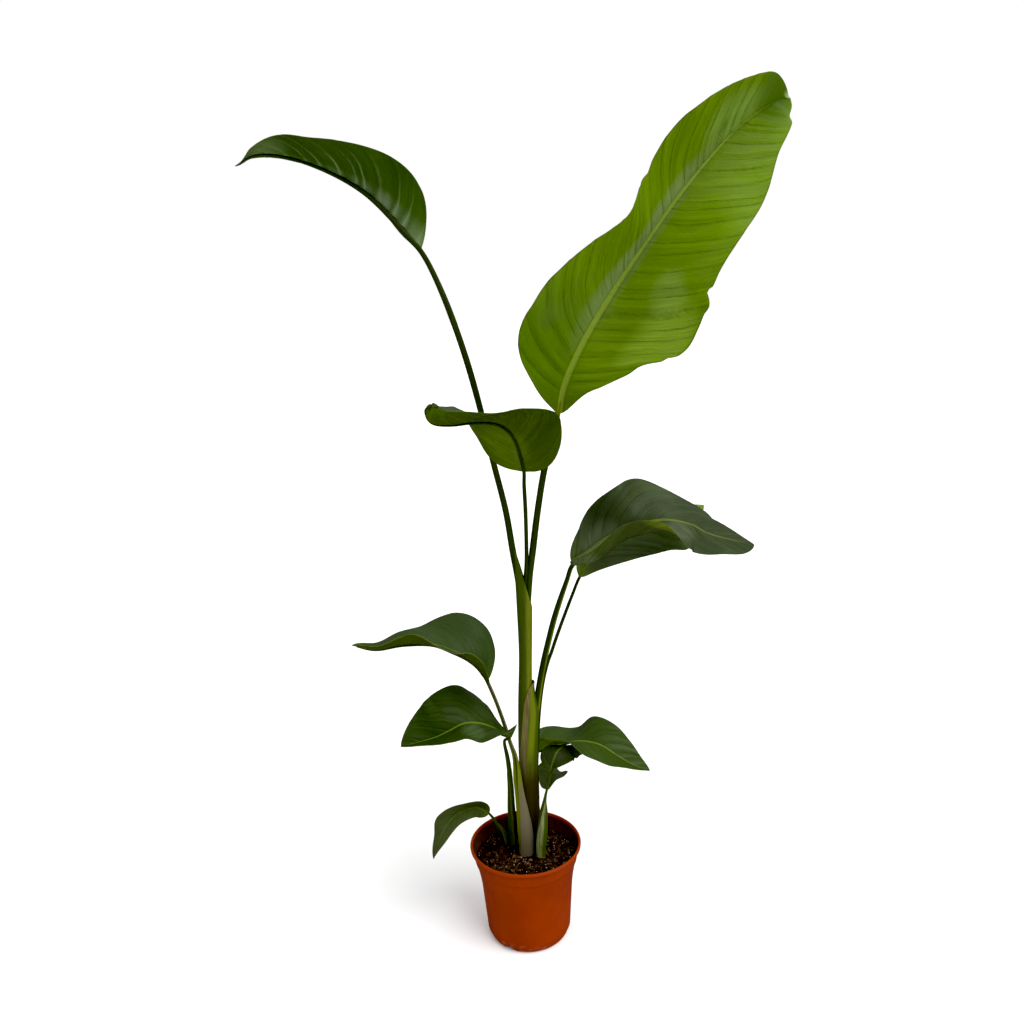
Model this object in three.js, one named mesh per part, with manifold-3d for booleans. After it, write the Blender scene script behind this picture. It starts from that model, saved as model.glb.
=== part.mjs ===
// A potted bird of paradise: eleven leaves in a round plastic nursery pot.
// Millimetres, +Z up. The origin is the middle of the pot's foot, on the floor; the front is -Y.
import * as THREE from "three";
import Module from "manifold-3d";

const wasm = await Module();
wasm.setup();

// ---------- driving dimensions ----------
const POT = {
  height: 170,
  rimRadius: 95,
  footRadius: 68,
  corner: 6, // rounding of the foot
  bodyRadius: 71, // the body's outer radius, drawn down to the floor
  taper: 8 / 110, // radius that the body gains for each millimetre of height
  flareFrom: 90, // height where the wall starts to flare out to the rim
  flarePower: 1.9,
  wall: 2.4,
  floor: 2.6,
  lip: 7, // height of the rolled lip
  grooveDepth: 29, // below the rim, where the collar ends
  collar: 0.9, // how far the collar stands out above the groove
  slots: 3, // drain slots round the foot
  slotTurn: -123, // degrees, the slot that shows at the front
  slotWide: 17,
  slotHigh: 8,
  around: 40,
};
const SOIL = { top: 148, bottom: 3.2, hump: 4, lumps: 1.6, edgeDrop: 8, around: 32 };
// Waves that lump the soil: their number along x and y for each millimetre, phase and share.
const SOIL_WAVES = [[0.31, 0.1, 1.3, 1], [-0.12, 0.27, -0.7, 1], [0.53, -0.41, 0, 0.6]];
const GAP = 0.3; // between things that touch
const BLADE = 0.8; // leaf thickness
const LEAST_WIDTH = 1.2; // of half a blade, where it runs out
const RIB_SHARE = 0.08; // share of a half's width that the keel takes
const STALK_END = 102; // the stems stop here, deep in the soil
const STALK_SIDES = 8; // faces round a stalk that names no number of its own
const SOCKET_END = 540; // the two inner petioles stop here inside the main sheath

// Main shoot: a pipe of wrapped sheaths. Its axis and radius from the mouth down.
const SHOOT = {
  axis: [[18, 8, 660], [17, 8, 603], [15, 8, 517], [11.5, 8, 428], [9.5, 9, 337], [8, 9, 242],
    [5, 10, 145], [5, 10, STALK_END]],
  radius: [12.3, 12.1, 11, 10.8, 11.2, 11.4, 12, 12],
  mouth: { tip: [15, 8, 649], end: [29, 8, 596] }, // the slanting mouth seen from the front
  wrap: 2.4, // thickness of the outer leaf's sheath round it
  reach: [60, 40], // how far the sheath's block reaches to the right, and to the front and back
};
// Free margin of the outer leaf's sheath, x and z seen from the front.
const WRAP_MARGIN = [[27, 462], [21, 456], [15, 445], [10, 429], [6, 413], [2, 381], [-3, 317],
  [-6, 250], [-8, 90]];

// Each leaf: points of its midrib from the stalk to the tip, the way its upper face looks there,
// its widest half-widths [right, left], and for each half, from base to tip: `fold`, degrees that
// the half rises from flat, `curl`, degrees that it bends on towards its margin, and `wide`, a
// factor on its width. `nicks` are dips in its margin: place, span and depth, a share of its width.
// The stalk's points run down from the blade; the last is in the soil.
const LEAVES = {
  leaf_high_left: {
    midrib: [[-110, 0, 1154], [-142, -12, 1194], [-180, -24, 1233], [-226, -36, 1261],
      [-278, -48, 1280], [-321, -58, 1284], [-348, -66, 1269]],
    face: [[0.4, 0.45, 0.7], [0.1, 0.35, 0.9], [0, 0.15, 0.98], [-0.2, 0.1, 0.98]],
    half: [82, 82], shape: [0.5, 0.75], sweep: [0.2],
    right: { fold: [15, 30, 25, 15, 10, 5], wide: [0.85, 1, 1.05, 1, 0.95], curl: [0] },
    left: { fold: [90, 40, 15, 5, 5, -20], wide: [0.8, 0.85, 0.9, 1.05, 1.05, 0.95], curl: [0] },
    rows: 20, cols: 4, keel: 3.4,
    stalk: [[-97, 5, 1123], [-77, 6, 1070], [-56, 7, 999], [-39, 8, 925], [-22, 8, 835],
      [-6, 8, 754], [2, 8, 688], [8, 8, 646], [13, 8, 600], [15, 8, 560]],
    radius: [3.6, 4.1, 4.3, 4.4, 4.2, 4.2, 4.3, 4.6, 5.2, 5.6, 5.6],
  },
  leaf_high_right: {
    midrib: [[80, -20, 905], [89, -34, 949], [116, -48, 1008], [151, -58, 1066], [195, -62, 1128],
      [244, -60, 1191], [295, -52, 1249], [343, -42, 1294], [390, -38, 1322], [413, -34, 1326]],
    face: [[0.1, -0.98, 0], [0.1, -0.98, 0], [0.1, -0.98, 0.05], [0.1, -0.98, 0.1]],
    half: [114, 120], shape: [0.45, 0.55], sweep: [0.1, 0.1, 0.1, 0.1, 0.3],
    right: {
      fold: [-10, -10, -5, 20, 30, 30, 15, 10, 0],
      wide: [0.45, 0.9, 1.25, 1.15, 1, 1, 1, 0.9, 0.95], curl: [0],
    },
    left: {
      fold: [60, 35, 35, 45, 55, 30, 50, 55, 50],
      wide: [0.45, 1.15, 1.1, 0.95, 0.75, 0.65, 1, 1, 0.9], curl: [0], nicks: [[1, 0.035, 0.85]],
    },
    rows: 28, cols: 4, keel: 4.4,
    stalk: [[69, -10, 864], [55, -2, 809], [43, 4, 744], [34, 8, 686], [28, 8.5, 649],
      [23, 9, 603], [19.5, 9, 565], [18, 9, SOCKET_END]],
    radius: [4.4, 4.6, 4.8, 4.9, 5.1, 5.2, 5, 4.8, 4.6],
  },
  leaf_centre: {
    midrib: [[25, -30, 822], [21, -42, 845], [15, -60, 871], [4, -84, 894], [-15, -112, 910],
      [-45, -140, 916], [-72, -164, 917], [-97, -182, 923], [-104, -190, 941], [-93, -194, 950]],
    face: [[0, 0.95, 0.3], [-0.1, 0.85, 0.55], [0, 0.4, 0.9], [0, 0.3, 0.95], [0.1, 0.4, 0.9]],
    half: [78, 78], shape: [0.35, 0.7], sweep: [0.05],
    right: {
      fold: [15, 30, 30, 25, 30, 65, 150],
      wide: [1, 1, 0.95, 1, 0.9, 0.8, 1.1], curl: [15, 10, 10, 20],
    },
    left: {
      fold: [-30, 0, -5, 0, 0, 10, 15],
      wide: [0.9, 0.95, 0.95, 0.95, 1.1, 1.05, 1.05], curl: [10, 5, 5, 10],
    },
    rows: 20, cols: 4, keel: 2.4,
    stalk: [[25.2, -18, 798], [25.5, -8, 757], [25, -1, 710], [24, 2, 676], [21.5, 3.5, 652],
      [15.5, 4.5, 606], [12, 4, 565], [11, 4, SOCKET_END]],
    radius: [2.2, 2.4, 2.4, 2.4, 2.4, 2.3, 2, 1.9, 1.8],
  },
  leaf_right_front: {
    midrib: [[94, 0, 664], [120, -6, 681], [150, -12, 704], [187, -18, 722], [234, -26, 735],
      [276, -34, 728], [306, -40, 712], [371, -48, 694]],
    face: [[-0.5, 0, 0.8], [-0.1, -0.1, 0.95], [0.1, -0.15, 0.95], [0.3, -0.15, 0.9]],
    half: [82, 80], shape: [0.4, 0.7], sweep: [0.15],
    right: {
      fold: [-25, -40, -30, -30, -10, -10, -20],
      wide: [1, 1.05, 1, 1, 0.95, 1, 1.2], curl: [100, 110, 115, 95, -5, 0, 0],
    },
    left: {
      fold: [50, 55, 75, 20, 10, 10, -5],
      wide: [0.75, 0.75, 0.85, 1.05, 1.1, 1, 1.05], curl: [-15, 5, -15, 0],
    },
    rows: 24, cols: 4, keel: 2.8, sides: 10,
    stalk: [[87, 4, 636], [74.5, 5, 602], [63, 6, 567], [53, 7, 530], [43, 8, 490], [34, 8, 445],
      [26, 8, 391], [21, 8, 337], [17, 9, 242], [13, 10, 144], [13, 10, STALK_END]],
    radius: [3.4, 4.2, 4.4, 4.7, 5.2, 5.8, 6.2, 8, 9, 9.3, 9, 9],
  },
  leaf_right_rear: {
    midrib: [[108, 34, 631], [127, 36, 653], [159, 42, 677], [203, 50, 697], [259, 60, 716],
      [320, 72, 730]],
    face: [[-0.4, -0.35, 0.8], [-0.2, -0.4, 0.9], [-0.1, -0.4, 0.9]],
    half: [66, 58], shape: [0.4, 0.7], sweep: [0.1],
    right: {
      fold: [25, 15, 5, -10, -40, -60],
      wide: [0.9, 1.1, 1.05, 1.1, 1.35, 0.95], curl: [0],
    },
    left: { fold: [-10, -5, 0, 0, -5, -15], wide: [1.1, 1.05, 1, 0.9, 0.85], curl: [0] },
    rows: 16, cols: 3, keel: 2.2,
    stalk: [[98, 31, 605], [81.5, 29, 565], [67.5, 28, 529], [58.5, 27, 504], [50, 26, 482],
      [40, 27, 440], [32, 28, 380], [25, 28, 290], [19, 27, 200], [18, 26, 148],
      [18, 26, STALK_END]],
    radius: [2.1, 2.2, 2.3, 2.4, 2.5, 2.5, 2.5, 2.5, 2.5, 2.6, 2.6, 2.6],
  },
  leaf_left_arching: {
    midrib: [[-48, 0, 471], [-57, -8, 494], [-75, -16, 516], [-102, -24, 535], [-132, -34, 552],
      [-178, -44, 557], [-219, -52, 554], [-254, -58, 566]],
    face: [[0.55, -0.1, 0.8], [0.25, -0.15, 0.95], [0, -0.1, 1], [0, -0.1, 1]],
    half: [58, 60], shape: [0.45, 0.8], sweep: [0.1],
    right: {
      fold: [55, 45, 25, 5, 5, 0, 10],
      wide: [1, 1.25, 1.3, 1, 0.95, 0.95, 1.1], curl: [-20, 0, -5, -5],
    },
    left: {
      fold: [-20, 0, 25, 15, 30, 40, 35],
      wide: [0.7, 0.95, 1.1, 1.05, 1, 1, 1], curl: [30, 45, 5, 40, -5, 25],
    },
    rows: 20, cols: 4, keel: 2, sides: 10,
    stalk: [[-37, -1, 432], [-24.6, -2, 388], [-18, -4, 361], [-12, -7, 340], [-9.6, -7, 318],
      [-8.3, -8, 290], [-5.5, -8, 258], [-2, -8, 222], [0.5, -7, 185], [0.5, -6, 150],
      [0.5, -6, STALK_END]],
    radius: [2.6, 2.6, 2.8, 2.7, 4, 6.6, 7.6, 10, 12.4, 12.8, 12.5, 12],
    flat: [1, 1, 1, 1, 0.85, 0.7, 0.65, 0.6, 0.6, 0.6, 0.6, 0.6],
  },
  leaf_left_low: {
    midrib: [[-15, -20, 377], [-30, -25, 388], [-47, -31, 403], [-69, -37, 414], [-91, -43, 416],
      [-114, -49, 408], [-141, -56, 400], [-190, -66, 394]],
    face: [[0.3, -0.3, 0.8], [0, -0.45, 0.9], [-0.1, -0.5, 0.85], [-0.2, -0.5, 0.8]],
    half: [60, 50], shape: [0.55, 0.75], sweep: [0.1],
    right: {
      fold: [-20, -15, -5, 35, 55, 35, 20],
      wide: [1, 1.1, 1.15, 1.1, 1.2, 1.2, 1.2], curl: [0],
    },
    left: {
      fold: [100, 50, 20, 30, 40, 45, 45],
      wide: [1.6, 1.25, 1.15, 1, 1.1, 1.05, 1], curl: [0],
    },
    rows: 16, cols: 4, keel: 1.8,
    stalk: [[-26, -13, 369], [-26.5, -6, 354], [-24.5, 0, 338], [-22.3, 5, 315], [-21, 9, 290],
      [-20.6, 13, 260], [-21.2, 17, 230], [-21.2, 21, 198], [-21.3, 24, 166], [-21.3, 25, 140],
      [-21.3, 25, STALK_END]],
    radius: [2.1, 2.6, 3.4, 4.1, 4.7, 5.5, 6.3, 6.9, 7.2, 7.2, 7, 7],
  },
  leaf_right_low: {
    midrib: [[15, 54, 306], [41, 51, 314], [67, 46, 323], [90, 39, 332], [115, 30, 335],
      [138, 21, 331], [162, 13, 316], [189, 5, 301], [215, 0, 292]],
    face: [[-0.3, -0.3, 0.9], [0, -0.45, 0.9], [0.3, -0.5, 0.8], [0.4, -0.5, 0.75]],
    half: [50, 50], shape: [0.5, 0.75], sweep: [0.1],
    right: {
      fold: [80, 60, 50, 20, 15, 30, 45],
      wide: [1.05, 1, 0.95, 1.05, 1, 0.95, 0.95], curl: [35, 25, 15, 10, 5],
    },
    left: {
      fold: [55, 0, -25, 20, 20, 10, 0],
      wide: [1.2, 1.1, 1, 0.95, 0.95, 1, 1.05], curl: [0],
    },
    rows: 16, cols: 4, keel: 2,
    stalk: [[8, 54, 292], [5, 51, 265], [8, 44, 210], [13, 38, 148], [13, 37, STALK_END]],
    radius: [2.2, 2.3, 2.4, 2.8, 3.5, 3.5],
  },
  leaf_right_small: {
    midrib: [[49, -8, 305], [53, -3, 320], [60, 5, 333], [72, 15, 337], [87, 26, 333],
      [103, 34, 324], [118, 40, 310]],
    face: [[-0.5, -0.4, 0.6], [-0.3, -0.45, 0.8], [-0.1, -0.5, 0.85], [0.1, -0.55, 0.8]],
    half: [30, 20], shape: [0.5, 0.7], sweep: [0.1],
    right: { fold: [50, -20, -15, -30, -70], wide: [1.1, 1.15, 0.9, 0.9, 0.95], curl: [0] },
    left: { fold: [10, -15, -65, -40], wide: [2.3, 1.3, 0.5, 0.8], curl: [0] },
    rows: 12, cols: 3, keel: 1.4,
    stalk: [[46, -12, 298], [41.5, -15, 281], [37, -17, 264], [34.5, -18, 250], [32.5, -18, 233],
      [30, -17, 210], [27.5, -16, 188], [25.5, -16, 165], [25, -16, 140], [25, -16, STALK_END]],
    radius: [1.9, 2, 2.9, 5.9, 7.5, 8.8, 9.1, 7.8, 6.6, 6.5, 6.5],
    flat: [1, 1, 1, 0.8, 0.75, 0.75, 0.75, 0.75, 0.8, 0.8, 0.8],
  },
  leaf_rear_small: {
    midrib: [[28, 52, 281], [40, 44, 279], [53, 36, 277], [65, 30, 277], [78, 26, 282]],
    face: [[0, -0.5, 0.85], [0.2, -0.5, 0.85]],
    half: [26, 20], shape: [0.6, 0.7], sweep: [0.1],
    right: { fold: [-40, -30, -25, 30, 30], wide: [1, 1.25, 1.15, 1, 1], curl: [0] },
    left: { fold: [10, -30, -45, -40, -45], wide: [1.8, 1.5, 1, 1], curl: [0] },
    rows: 12, cols: 3, keel: 1.2,
    stalk: [[24, 54, 262], [25, 54, 225], [27, 52, 185], [28, 50, 148], [28, 50, STALK_END]],
    radius: [1.7, 1.8, 1.9, 2.2, 2.6, 2.6],
  },
  leaf_over_rim: {
    midrib: [[-60, 14, 218], [-78, 6, 235], [-98, -4, 238], [-117, -12, 232], [-134, -20, 215],
      [-147, -26, 191], [-156, -30, 164]],
    face: [[0.3, -0.6, 0.75], [-0.1, -0.9, 0.4], [-0.3, -0.9, 0.3], [-0.5, -0.8, 0.2]],
    half: [21, 20], shape: [0.5, 0.7], sweep: [0.1],
    right: { fold: [50, 65, 40, -25, -10], wide: [0.9, 1.15, 1.15, 1, 1], curl: [0] },
    left: { fold: [-20, 35, 30, 25, 60], wide: [1.3, 1.05, 0.95, 0.95, 1], curl: [0] },
    rows: 14, cols: 3, keel: 1.4,
    stalk: [[-54, 17, 206], [-47.5, 20, 191], [-41.5, 24, 178], [-36.5, 28, 161], [-33.5, 31, 146],
      [-33, 32, 125], [-33, 32, STALK_END]],
    radius: [2.1, 2.7, 4.3, 5.2, 5.6, 5.5, 5.3, 5],
  },
};

// ---------- curves ----------
const v3 = (a) => new THREE.Vector3(...a);

// Evenly spaced points along a smooth curve through `points`.
function spine(points, count) {
  return new THREE.CatmullRomCurve3(points.map(v3), false, "catmullrom", 0.5).getSpacedPoints(count);
}

// Value at t of numbers or triples given at even steps, on a smooth curve through them.
function along(values, t) {
  if (values.length === 1) return values[0];
  const x = Math.min(Math.max(t, 0), 1) * (values.length - 1),
    i = Math.min(Math.floor(x), values.length - 2),
    u = x - i;
  const blend = (pick) => {
    const at = (k) => pick(values[k]);
    const b = at(i), c = at(i + 1);
    const a = i > 0 ? at(i - 1) : 2 * b - c;
    const d = i + 2 < values.length ? at(i + 2) : 2 * c - b;
    return 0.5 * (2 * b + (c - a) * u + (2 * a - 5 * b + 4 * c - d) * u * u
      + (3 * b - a - 3 * c + d) * u ** 3);
  };
  return Array.isArray(values[0]) ? [0, 1, 2].map((k) => blend((v) => v[k])) : blend((v) => v);
}

const tangents = (line) => line.map((p, i) =>
  new THREE.Vector3().subVectors(line[Math.min(i + 1, line.length - 1)], line[Math.max(i - 1, 0)])
    .normalize());

// ---------- meshes and solids ----------
const coordinates = (points) => points.flatMap((p) => p.toArray());

function geometryOf(points, faces) {
  const g = new THREE.BufferGeometry();
  g.setAttribute("position", new THREE.Float32BufferAttribute(coordinates(points), 3));
  g.setIndex(faces.flat());
  return g;
}

function solidOf(points, faces) {
  const volume = faces.reduce((sum, [a, b, c]) =>
    sum + points[a].dot(new THREE.Vector3().crossVectors(points[b], points[c])), 0);
  const turned = volume < 0 ? faces.map(([a, b, c]) => [a, c, b]) : faces;
  return new wasm.Manifold(new wasm.Mesh({
    numProp: 3,
    vertProperties: new Float32Array(coordinates(points)),
    triVerts: new Uint32Array(turned.flat()),
  }));
}

function meshOf(name, solid, colour, roughness) {
  const m = solid.getMesh();
  const points = [], faces = [];
  for (let i = 0; i < m.numVert; i++)
    points.push(new THREE.Vector3().fromArray(m.vertProperties, i * m.numProp));
  for (let i = 0; i < m.triVerts.length; i += 3)
    faces.push([m.triVerts[i], m.triVerts[i + 1], m.triVerts[i + 2]]);
  const g = geometryOf(points, faces);
  g.computeVertexNormals();
  const finish = new THREE.MeshStandardMaterial({ color: colour, roughness, metalness: 0 });
  const mesh = new THREE.Mesh(g, finish);
  mesh.name = name;
  return mesh;
}

// A solid skinned over rings of points of one count, closed by a point in the middle of each end.
function skin(rings, first, last) {
  const n = rings[0].length, points = [...rings.flat(), first, last], faces = [];
  const at = (r, k) => r * n + (k % n);
  for (let r = 0; r + 1 < rings.length; r++)
    for (let k = 0; k < n; k++) {
      faces.push([at(r, k), at(r, k + 1), at(r + 1, k + 1)]);
      faces.push([at(r, k), at(r + 1, k + 1), at(r + 1, k)]);
    }
  for (let k = 0; k < n; k++) {
    faces.push([points.length - 2, at(0, k + 1), at(0, k)]);
    faces.push([points.length - 1, at(rings.length - 1, k), at(rings.length - 1, k + 1)]);
  }
  return solidOf(points, faces);
}

// A round or oval tube along a path, grown by `extra` all round.
function tube(path, radius, { flat = [1], extra = 0, count = 20, sides = 10 } = {}) {
  const line = spine(path, count), forward = tangents(line);
  const rings = line.map((p, i) => {
    const t = i / count, r = along(radius, t);
    const side = new THREE.Vector3().crossVectors(forward[i], v3([0, 1, 0.02])).normalize();
    const back = new THREE.Vector3().crossVectors(side, forward[i]);
    return Array.from({ length: sides }, (_, k) => {
      const turn = (2 * Math.PI * k) / sides;
      return p.clone().addScaledVector(side, (r + extra) * Math.cos(turn))
        .addScaledVector(back, (r * along(flat, t) + extra) * Math.sin(turn));
    });
  });
  if (!extra) return skin(rings, line[0], line[count]);
  const past = forward[count].clone().multiplyScalar(3 * extra); // a grown tube is longer too
  rings.push(rings[count].map((p) => p.clone().add(past)));
  return skin(rings, line[0], line[count].clone().add(past));
}

// ---------- leaves ----------
// The blade: two halves hinged on the midrib, a keel under it, one thickness elsewhere.
function blade(leaf) {
  const { rows, cols } = leaf;
  const [a, b] = leaf.shape, peak = a / (a + b), most = peak ** a * (1 - peak) ** b;
  const line = spine(leaf.midrib, rows), forward = tangents(line);
  const top = [], under = [];
  line.forEach((p, i) => {
    const t = i / rows, T = forward[i];
    const N = v3(along(leaf.face, t));
    N.addScaledVector(T, -N.dot(T)).normalize();
    const S = new THREE.Vector3().crossVectors(N, T);
    const profile = (t ** a * (1 - t) ** b) / most;
    for (let k = -cols; k <= cols; k++) {
      const half = k < 0 ? leaf.right : leaf.left, side = Math.sign(k);
      const v = k === 0 ? 0 : RIB_SHARE + ((1 - RIB_SHARE) * (Math.abs(k) - 1)) / (cols - 1);
      const full = leaf.half[k < 0 ? 0 : 1] * profile * along(half.wide, t);
      const width = Math.max(LEAST_WIDTH, (half.nicks || []).reduce(
        (left, [at, span, depth]) => left * (1 - depth * Math.exp(-(((t - at) / span) ** 2))), full));
      const fold = THREE.MathUtils.degToRad(along(half.fold, t));
      const bend = THREE.MathUtils.degToRad(along(half.curl, t)) || 1e-3;
      const turn = fold + bend * v;
      const out = (width / bend) * (Math.sin(turn) - Math.sin(fold));
      const up = (width / bend) * (Math.cos(fold) - Math.cos(turn));
      const at = p.clone().addScaledVector(S, side * out).addScaledVector(N, up)
        .addScaledVector(T, along(leaf.sweep, t) * width * v * v);
      const normal = k === 0 ? N.clone()
        : N.clone().multiplyScalar(Math.cos(turn)).addScaledVector(S, -side * Math.sin(turn));
      const keel = k === 0 ? leaf.keel * (1 - t) ** 0.8 + 0.4 : 0;
      top.push(at.clone().addScaledVector(normal, BLADE / 2));
      under.push(at.clone().addScaledVector(normal, -BLADE / 2 - keel));
    }
  });
  const w = 2 * cols + 1, lower = top.length, faces = [];
  for (let i = 0; i < rows; i++)
    for (let k = 0; k + 1 < w; k++) {
      const [p, q, r, s] = [i * w + k, i * w + k + 1, (i + 1) * w + k + 1, (i + 1) * w + k];
      faces.push([p, q, r], [p, r, s]);
      faces.push([lower + p, lower + r, lower + q], [lower + p, lower + s, lower + r]);
    }
  const rim = [];
  for (let k = 0; k + 1 < w; k++) rim.push(k);
  for (let i = 0; i < rows; i++) rim.push(i * w + w - 1);
  for (let k = w - 1; k > 0; k--) rim.push(rows * w + k);
  for (let i = rows; i > 0; i--) rim.push(i * w);
  rim.forEach((p, i) => {
    const q = rim[(i + 1) % rim.length];
    faces.push([q, p, lower + p], [q, lower + p, lower + q]);
  });
  return solidOf([...top, ...under], faces);
}

// The stalk's path, with a start tucked under the blade so that the two grow together.
function stalkPath(leaf) {
  const steps = 40, line = spine(leaf.midrib, steps), r = leaf.radius[0];
  const tuck = (i, drop) => {
    const T = tangents(line)[i], N = v3(along(leaf.face, i / steps));
    N.addScaledVector(T, -N.dot(T)).normalize();
    return line[i].clone().addScaledVector(N, -drop * r).toArray();
  };
  return [tuck(3, 0.9), tuck(0, 0.5), ...leaf.stalk];
}
const stalkRadius = (leaf) => [leaf.radius[0] * 0.6, ...leaf.radius];
const stalk = (leaf, extra = 0) =>
  tube(stalkPath(leaf), stalkRadius(leaf), {
    flat: leaf.flat && [1, ...leaf.flat], extra, sides: leaf.sides || STALK_SIDES,
    count: 2 * leaf.stalk.length + 2,
  });
const shoot = (extra) => tube(SHOOT.axis, SHOOT.radius, { extra, sides: 12, count: 12 });

// The main stem is the highest leaf's own sheath, cut slantwise where the inner leaves leave it.
function mainSheath() {
  const { tip, end } = SHOOT.mouth;
  const normal = v3([end[2] - tip[2], 0, tip[0] - end[0]]).normalize();
  return shoot(0).trimByPlane(normal.toArray(), normal.dot(v3(tip)));
}

// The outer leaf's sheath: a shell round the main stem with a free margin down its front.
function outerWrap() {
  const [right, depth] = SHOOT.reach, points = [], faces = [];
  const outline = [...WRAP_MARGIN, [right, WRAP_MARGIN.at(-1)[1]], [right, WRAP_MARGIN[0][1]]];
  for (const y of [-depth, depth]) for (const [x, z] of outline) points.push(v3([x, y, z]));
  const n = outline.length, flat = outline.map(([x, z]) => new THREE.Vector2(x, z));
  for (const [a, b, c] of THREE.ShapeUtils.triangulateShape(flat, []))
    faces.push([a, b, c], [n + a, n + c, n + b]);
  outline.forEach((_, i) => {
    const j = (i + 1) % n;
    faces.push([j, i, n + i], [j, n + i, n + j]);
  });
  return shoot(SHOOT.wrap).intersect(solidOf(points, faces));
}

const solids = {};
const shootAround = shoot(SHOOT.wrap + GAP);
const shootClear = shoot(GAP);

const grown = (leaf) => blade(leaf).add(stalk(leaf));
for (const [name, leaf] of Object.entries(LEAVES)) solids[name] = grown(leaf);
solids.leaf_high_left = solids.leaf_high_left.add(mainSheath())
  .subtract(stalk(LEAVES.leaf_high_right, GAP)).subtract(stalk(LEAVES.leaf_centre, GAP));
solids.leaf_right_front = solids.leaf_right_front.add(outerWrap()).subtract(shootClear);
solids.leaf_left_arching = solids.leaf_left_arching.subtract(shootAround);

// ---------- pot and soil ----------
// Outer radius of the pot at a height: a tapered body that flares into a collar.
function potRadius(z) {
  const { height, rimRadius, bodyRadius, taper, flareFrom, flarePower } = POT;
  const flare = Math.max(0, z - flareFrom) / (height - flareFrom);
  return bodyRadius + taper * z + (rimRadius - bodyRadius - taper * height) * flare ** flarePower;
}

const circle = (radius, z, n) => Array.from({ length: n }, (_, k) => {
  const turn = (2 * Math.PI * k) / n;
  return new THREE.Vector3(radius * Math.cos(turn), radius * Math.sin(turn), z);
});

// The wall's profile, radius and height: up the outside, over the lip and down the inside.
function potProfile() {
  const { height, lip, wall, floor, corner, footRadius, rimRadius, grooveDepth, collar } = POT;
  const groove = height - grooveDepth, middle = footRadius - corner, profile = [[middle, 0]];
  for (const turn of [30, 60, 90]) {
    const a = THREE.MathUtils.degToRad(turn);
    profile.push([middle + (corner + 1) * Math.sin(a), 1.3 * corner * (1 - Math.cos(a))]);
  }
  for (const z of [30, 65, 95, 118]) profile.push([potRadius(z), z]);
  profile.push([potRadius(groove) - 0.6, groove - 1.4], [potRadius(groove) + collar, groove]);
  profile.push([potRadius(height - lip) - 1, height - lip]);
  profile.push([rimRadius - 0.4, height - lip + 1.2], [rimRadius, height - lip / 2]);
  profile.push([rimRadius - 1, height], [rimRadius - wall - 1, height]);
  for (const z of [height - lip, groove, 118, 90, 50, 12]) profile.push([potRadius(z) - wall, z]);
  return [...profile, [middle, floor]];
}

// A block with a rounded top, pushed through the wall where a drain slot is.
function slotBlock(turn) {
  const { slotWide, slotHigh, footRadius } = POT;
  const out = new THREE.Vector3(Math.cos(turn), Math.sin(turn), 0);
  const side = new THREE.Vector3(-out.y, out.x, 0);
  const outline = [[-1, -4], [1, -4], [1, slotHigh - 3], [0.6, slotHigh], [-0.6, slotHigh],
    [-1, slotHigh - 3]];
  const at = (distance) => out.clone().multiplyScalar(distance);
  const ring = (distance) => outline.map(([s, z]) =>
    at(distance).addScaledVector(side, (s * slotWide) / 2).setZ(z));
  const [inner, outer] = [footRadius - 12, footRadius + 14];
  return skin([ring(inner), ring(outer)], at(inner).setZ(1), at(outer).setZ(1));
}

function pot() {
  const rings = potProfile().map(([r, z]) => circle(r, z, POT.around));
  let body = skin(rings, v3([0, 0, 0]), v3([0, 0, POT.floor]));
  for (let i = 0; i < POT.slots; i++)
    body = body.subtract(slotBlock(THREE.MathUtils.degToRad(POT.slotTurn + (360 * i) / POT.slots)));
  return body;
}

// Height of the soil's top: a low hump round the stems, with lumps made by a formula.
function soilTop(x, y) {
  const r = Math.hypot(x, y) / POT.rimRadius;
  const lump = SOIL_WAVES.reduce((sum, [a, b, phase, share]) =>
    sum + share * Math.sin(a * x + b * y + phase), 0);
  return SOIL.top + SOIL.hump * (0.5 - 1.3 * r * r) + SOIL.lumps * lump * (1 - r ** 6);
}

function soil() {
  const inner = (z) => potRadius(z) - POT.wall - 0.5, shoulder = SOIL.top - SOIL.edgeDrop;
  const rings = [circle(POT.footRadius - 7, SOIL.bottom, SOIL.around)];
  for (const z of [12, 50, 90, 118, shoulder]) rings.push(circle(inner(z), z, SOIL.around));
  for (const share of [1, 0.93, 0.78, 0.62, 0.46, 0.3, 0.15])
    rings.push(circle(inner(shoulder) * share, 0, SOIL.around)
      .map((p) => p.setZ(soilTop(p.x, p.y))));
  const first = v3([0, 0, SOIL.bottom]), last = v3([0, 0, soilTop(0, 0)]);
  const holes = Object.values(LEAVES).filter((leaf) => leaf.stalk.at(-1)[2] === STALK_END)
    .map((leaf) => stalk(leaf, GAP));
  return [shootAround, ...holes].reduce((sum, hole) => sum.subtract(hole), skin(rings, first, last));
}

// ---------- scene graph ----------
const COLOURS = {
  pot: [0xb5611f, 0.5], soil: [0x32231a, 0.95],
  leaf_high_left: [0x5d7d22, 0.45], leaf_high_right: [0x9bb53a, 0.4], leaf_centre: [0x748c1f, 0.45],
  leaf_right_front: [0x5c6f49, 0.4], leaf_right_rear: [0x56693a, 0.4],
  leaf_left_arching: [0x58713f, 0.4], leaf_left_low: [0x4f6b2c, 0.4],
  leaf_right_low: [0x5b7838, 0.4], leaf_right_small: [0x5e7346, 0.4],
  leaf_rear_small: [0x5a6e3d, 0.45], leaf_over_rim: [0x556b33, 0.4],
};
solids.pot = pot();
solids.soil = soil();

const plant = new THREE.Group();
plant.name = "potted_bird_of_paradise";
for (const [name, [colour, roughness]] of Object.entries(COLOURS))
  plant.add(meshOf(name, solids[name], colour, roughness));

export default plant;
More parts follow.
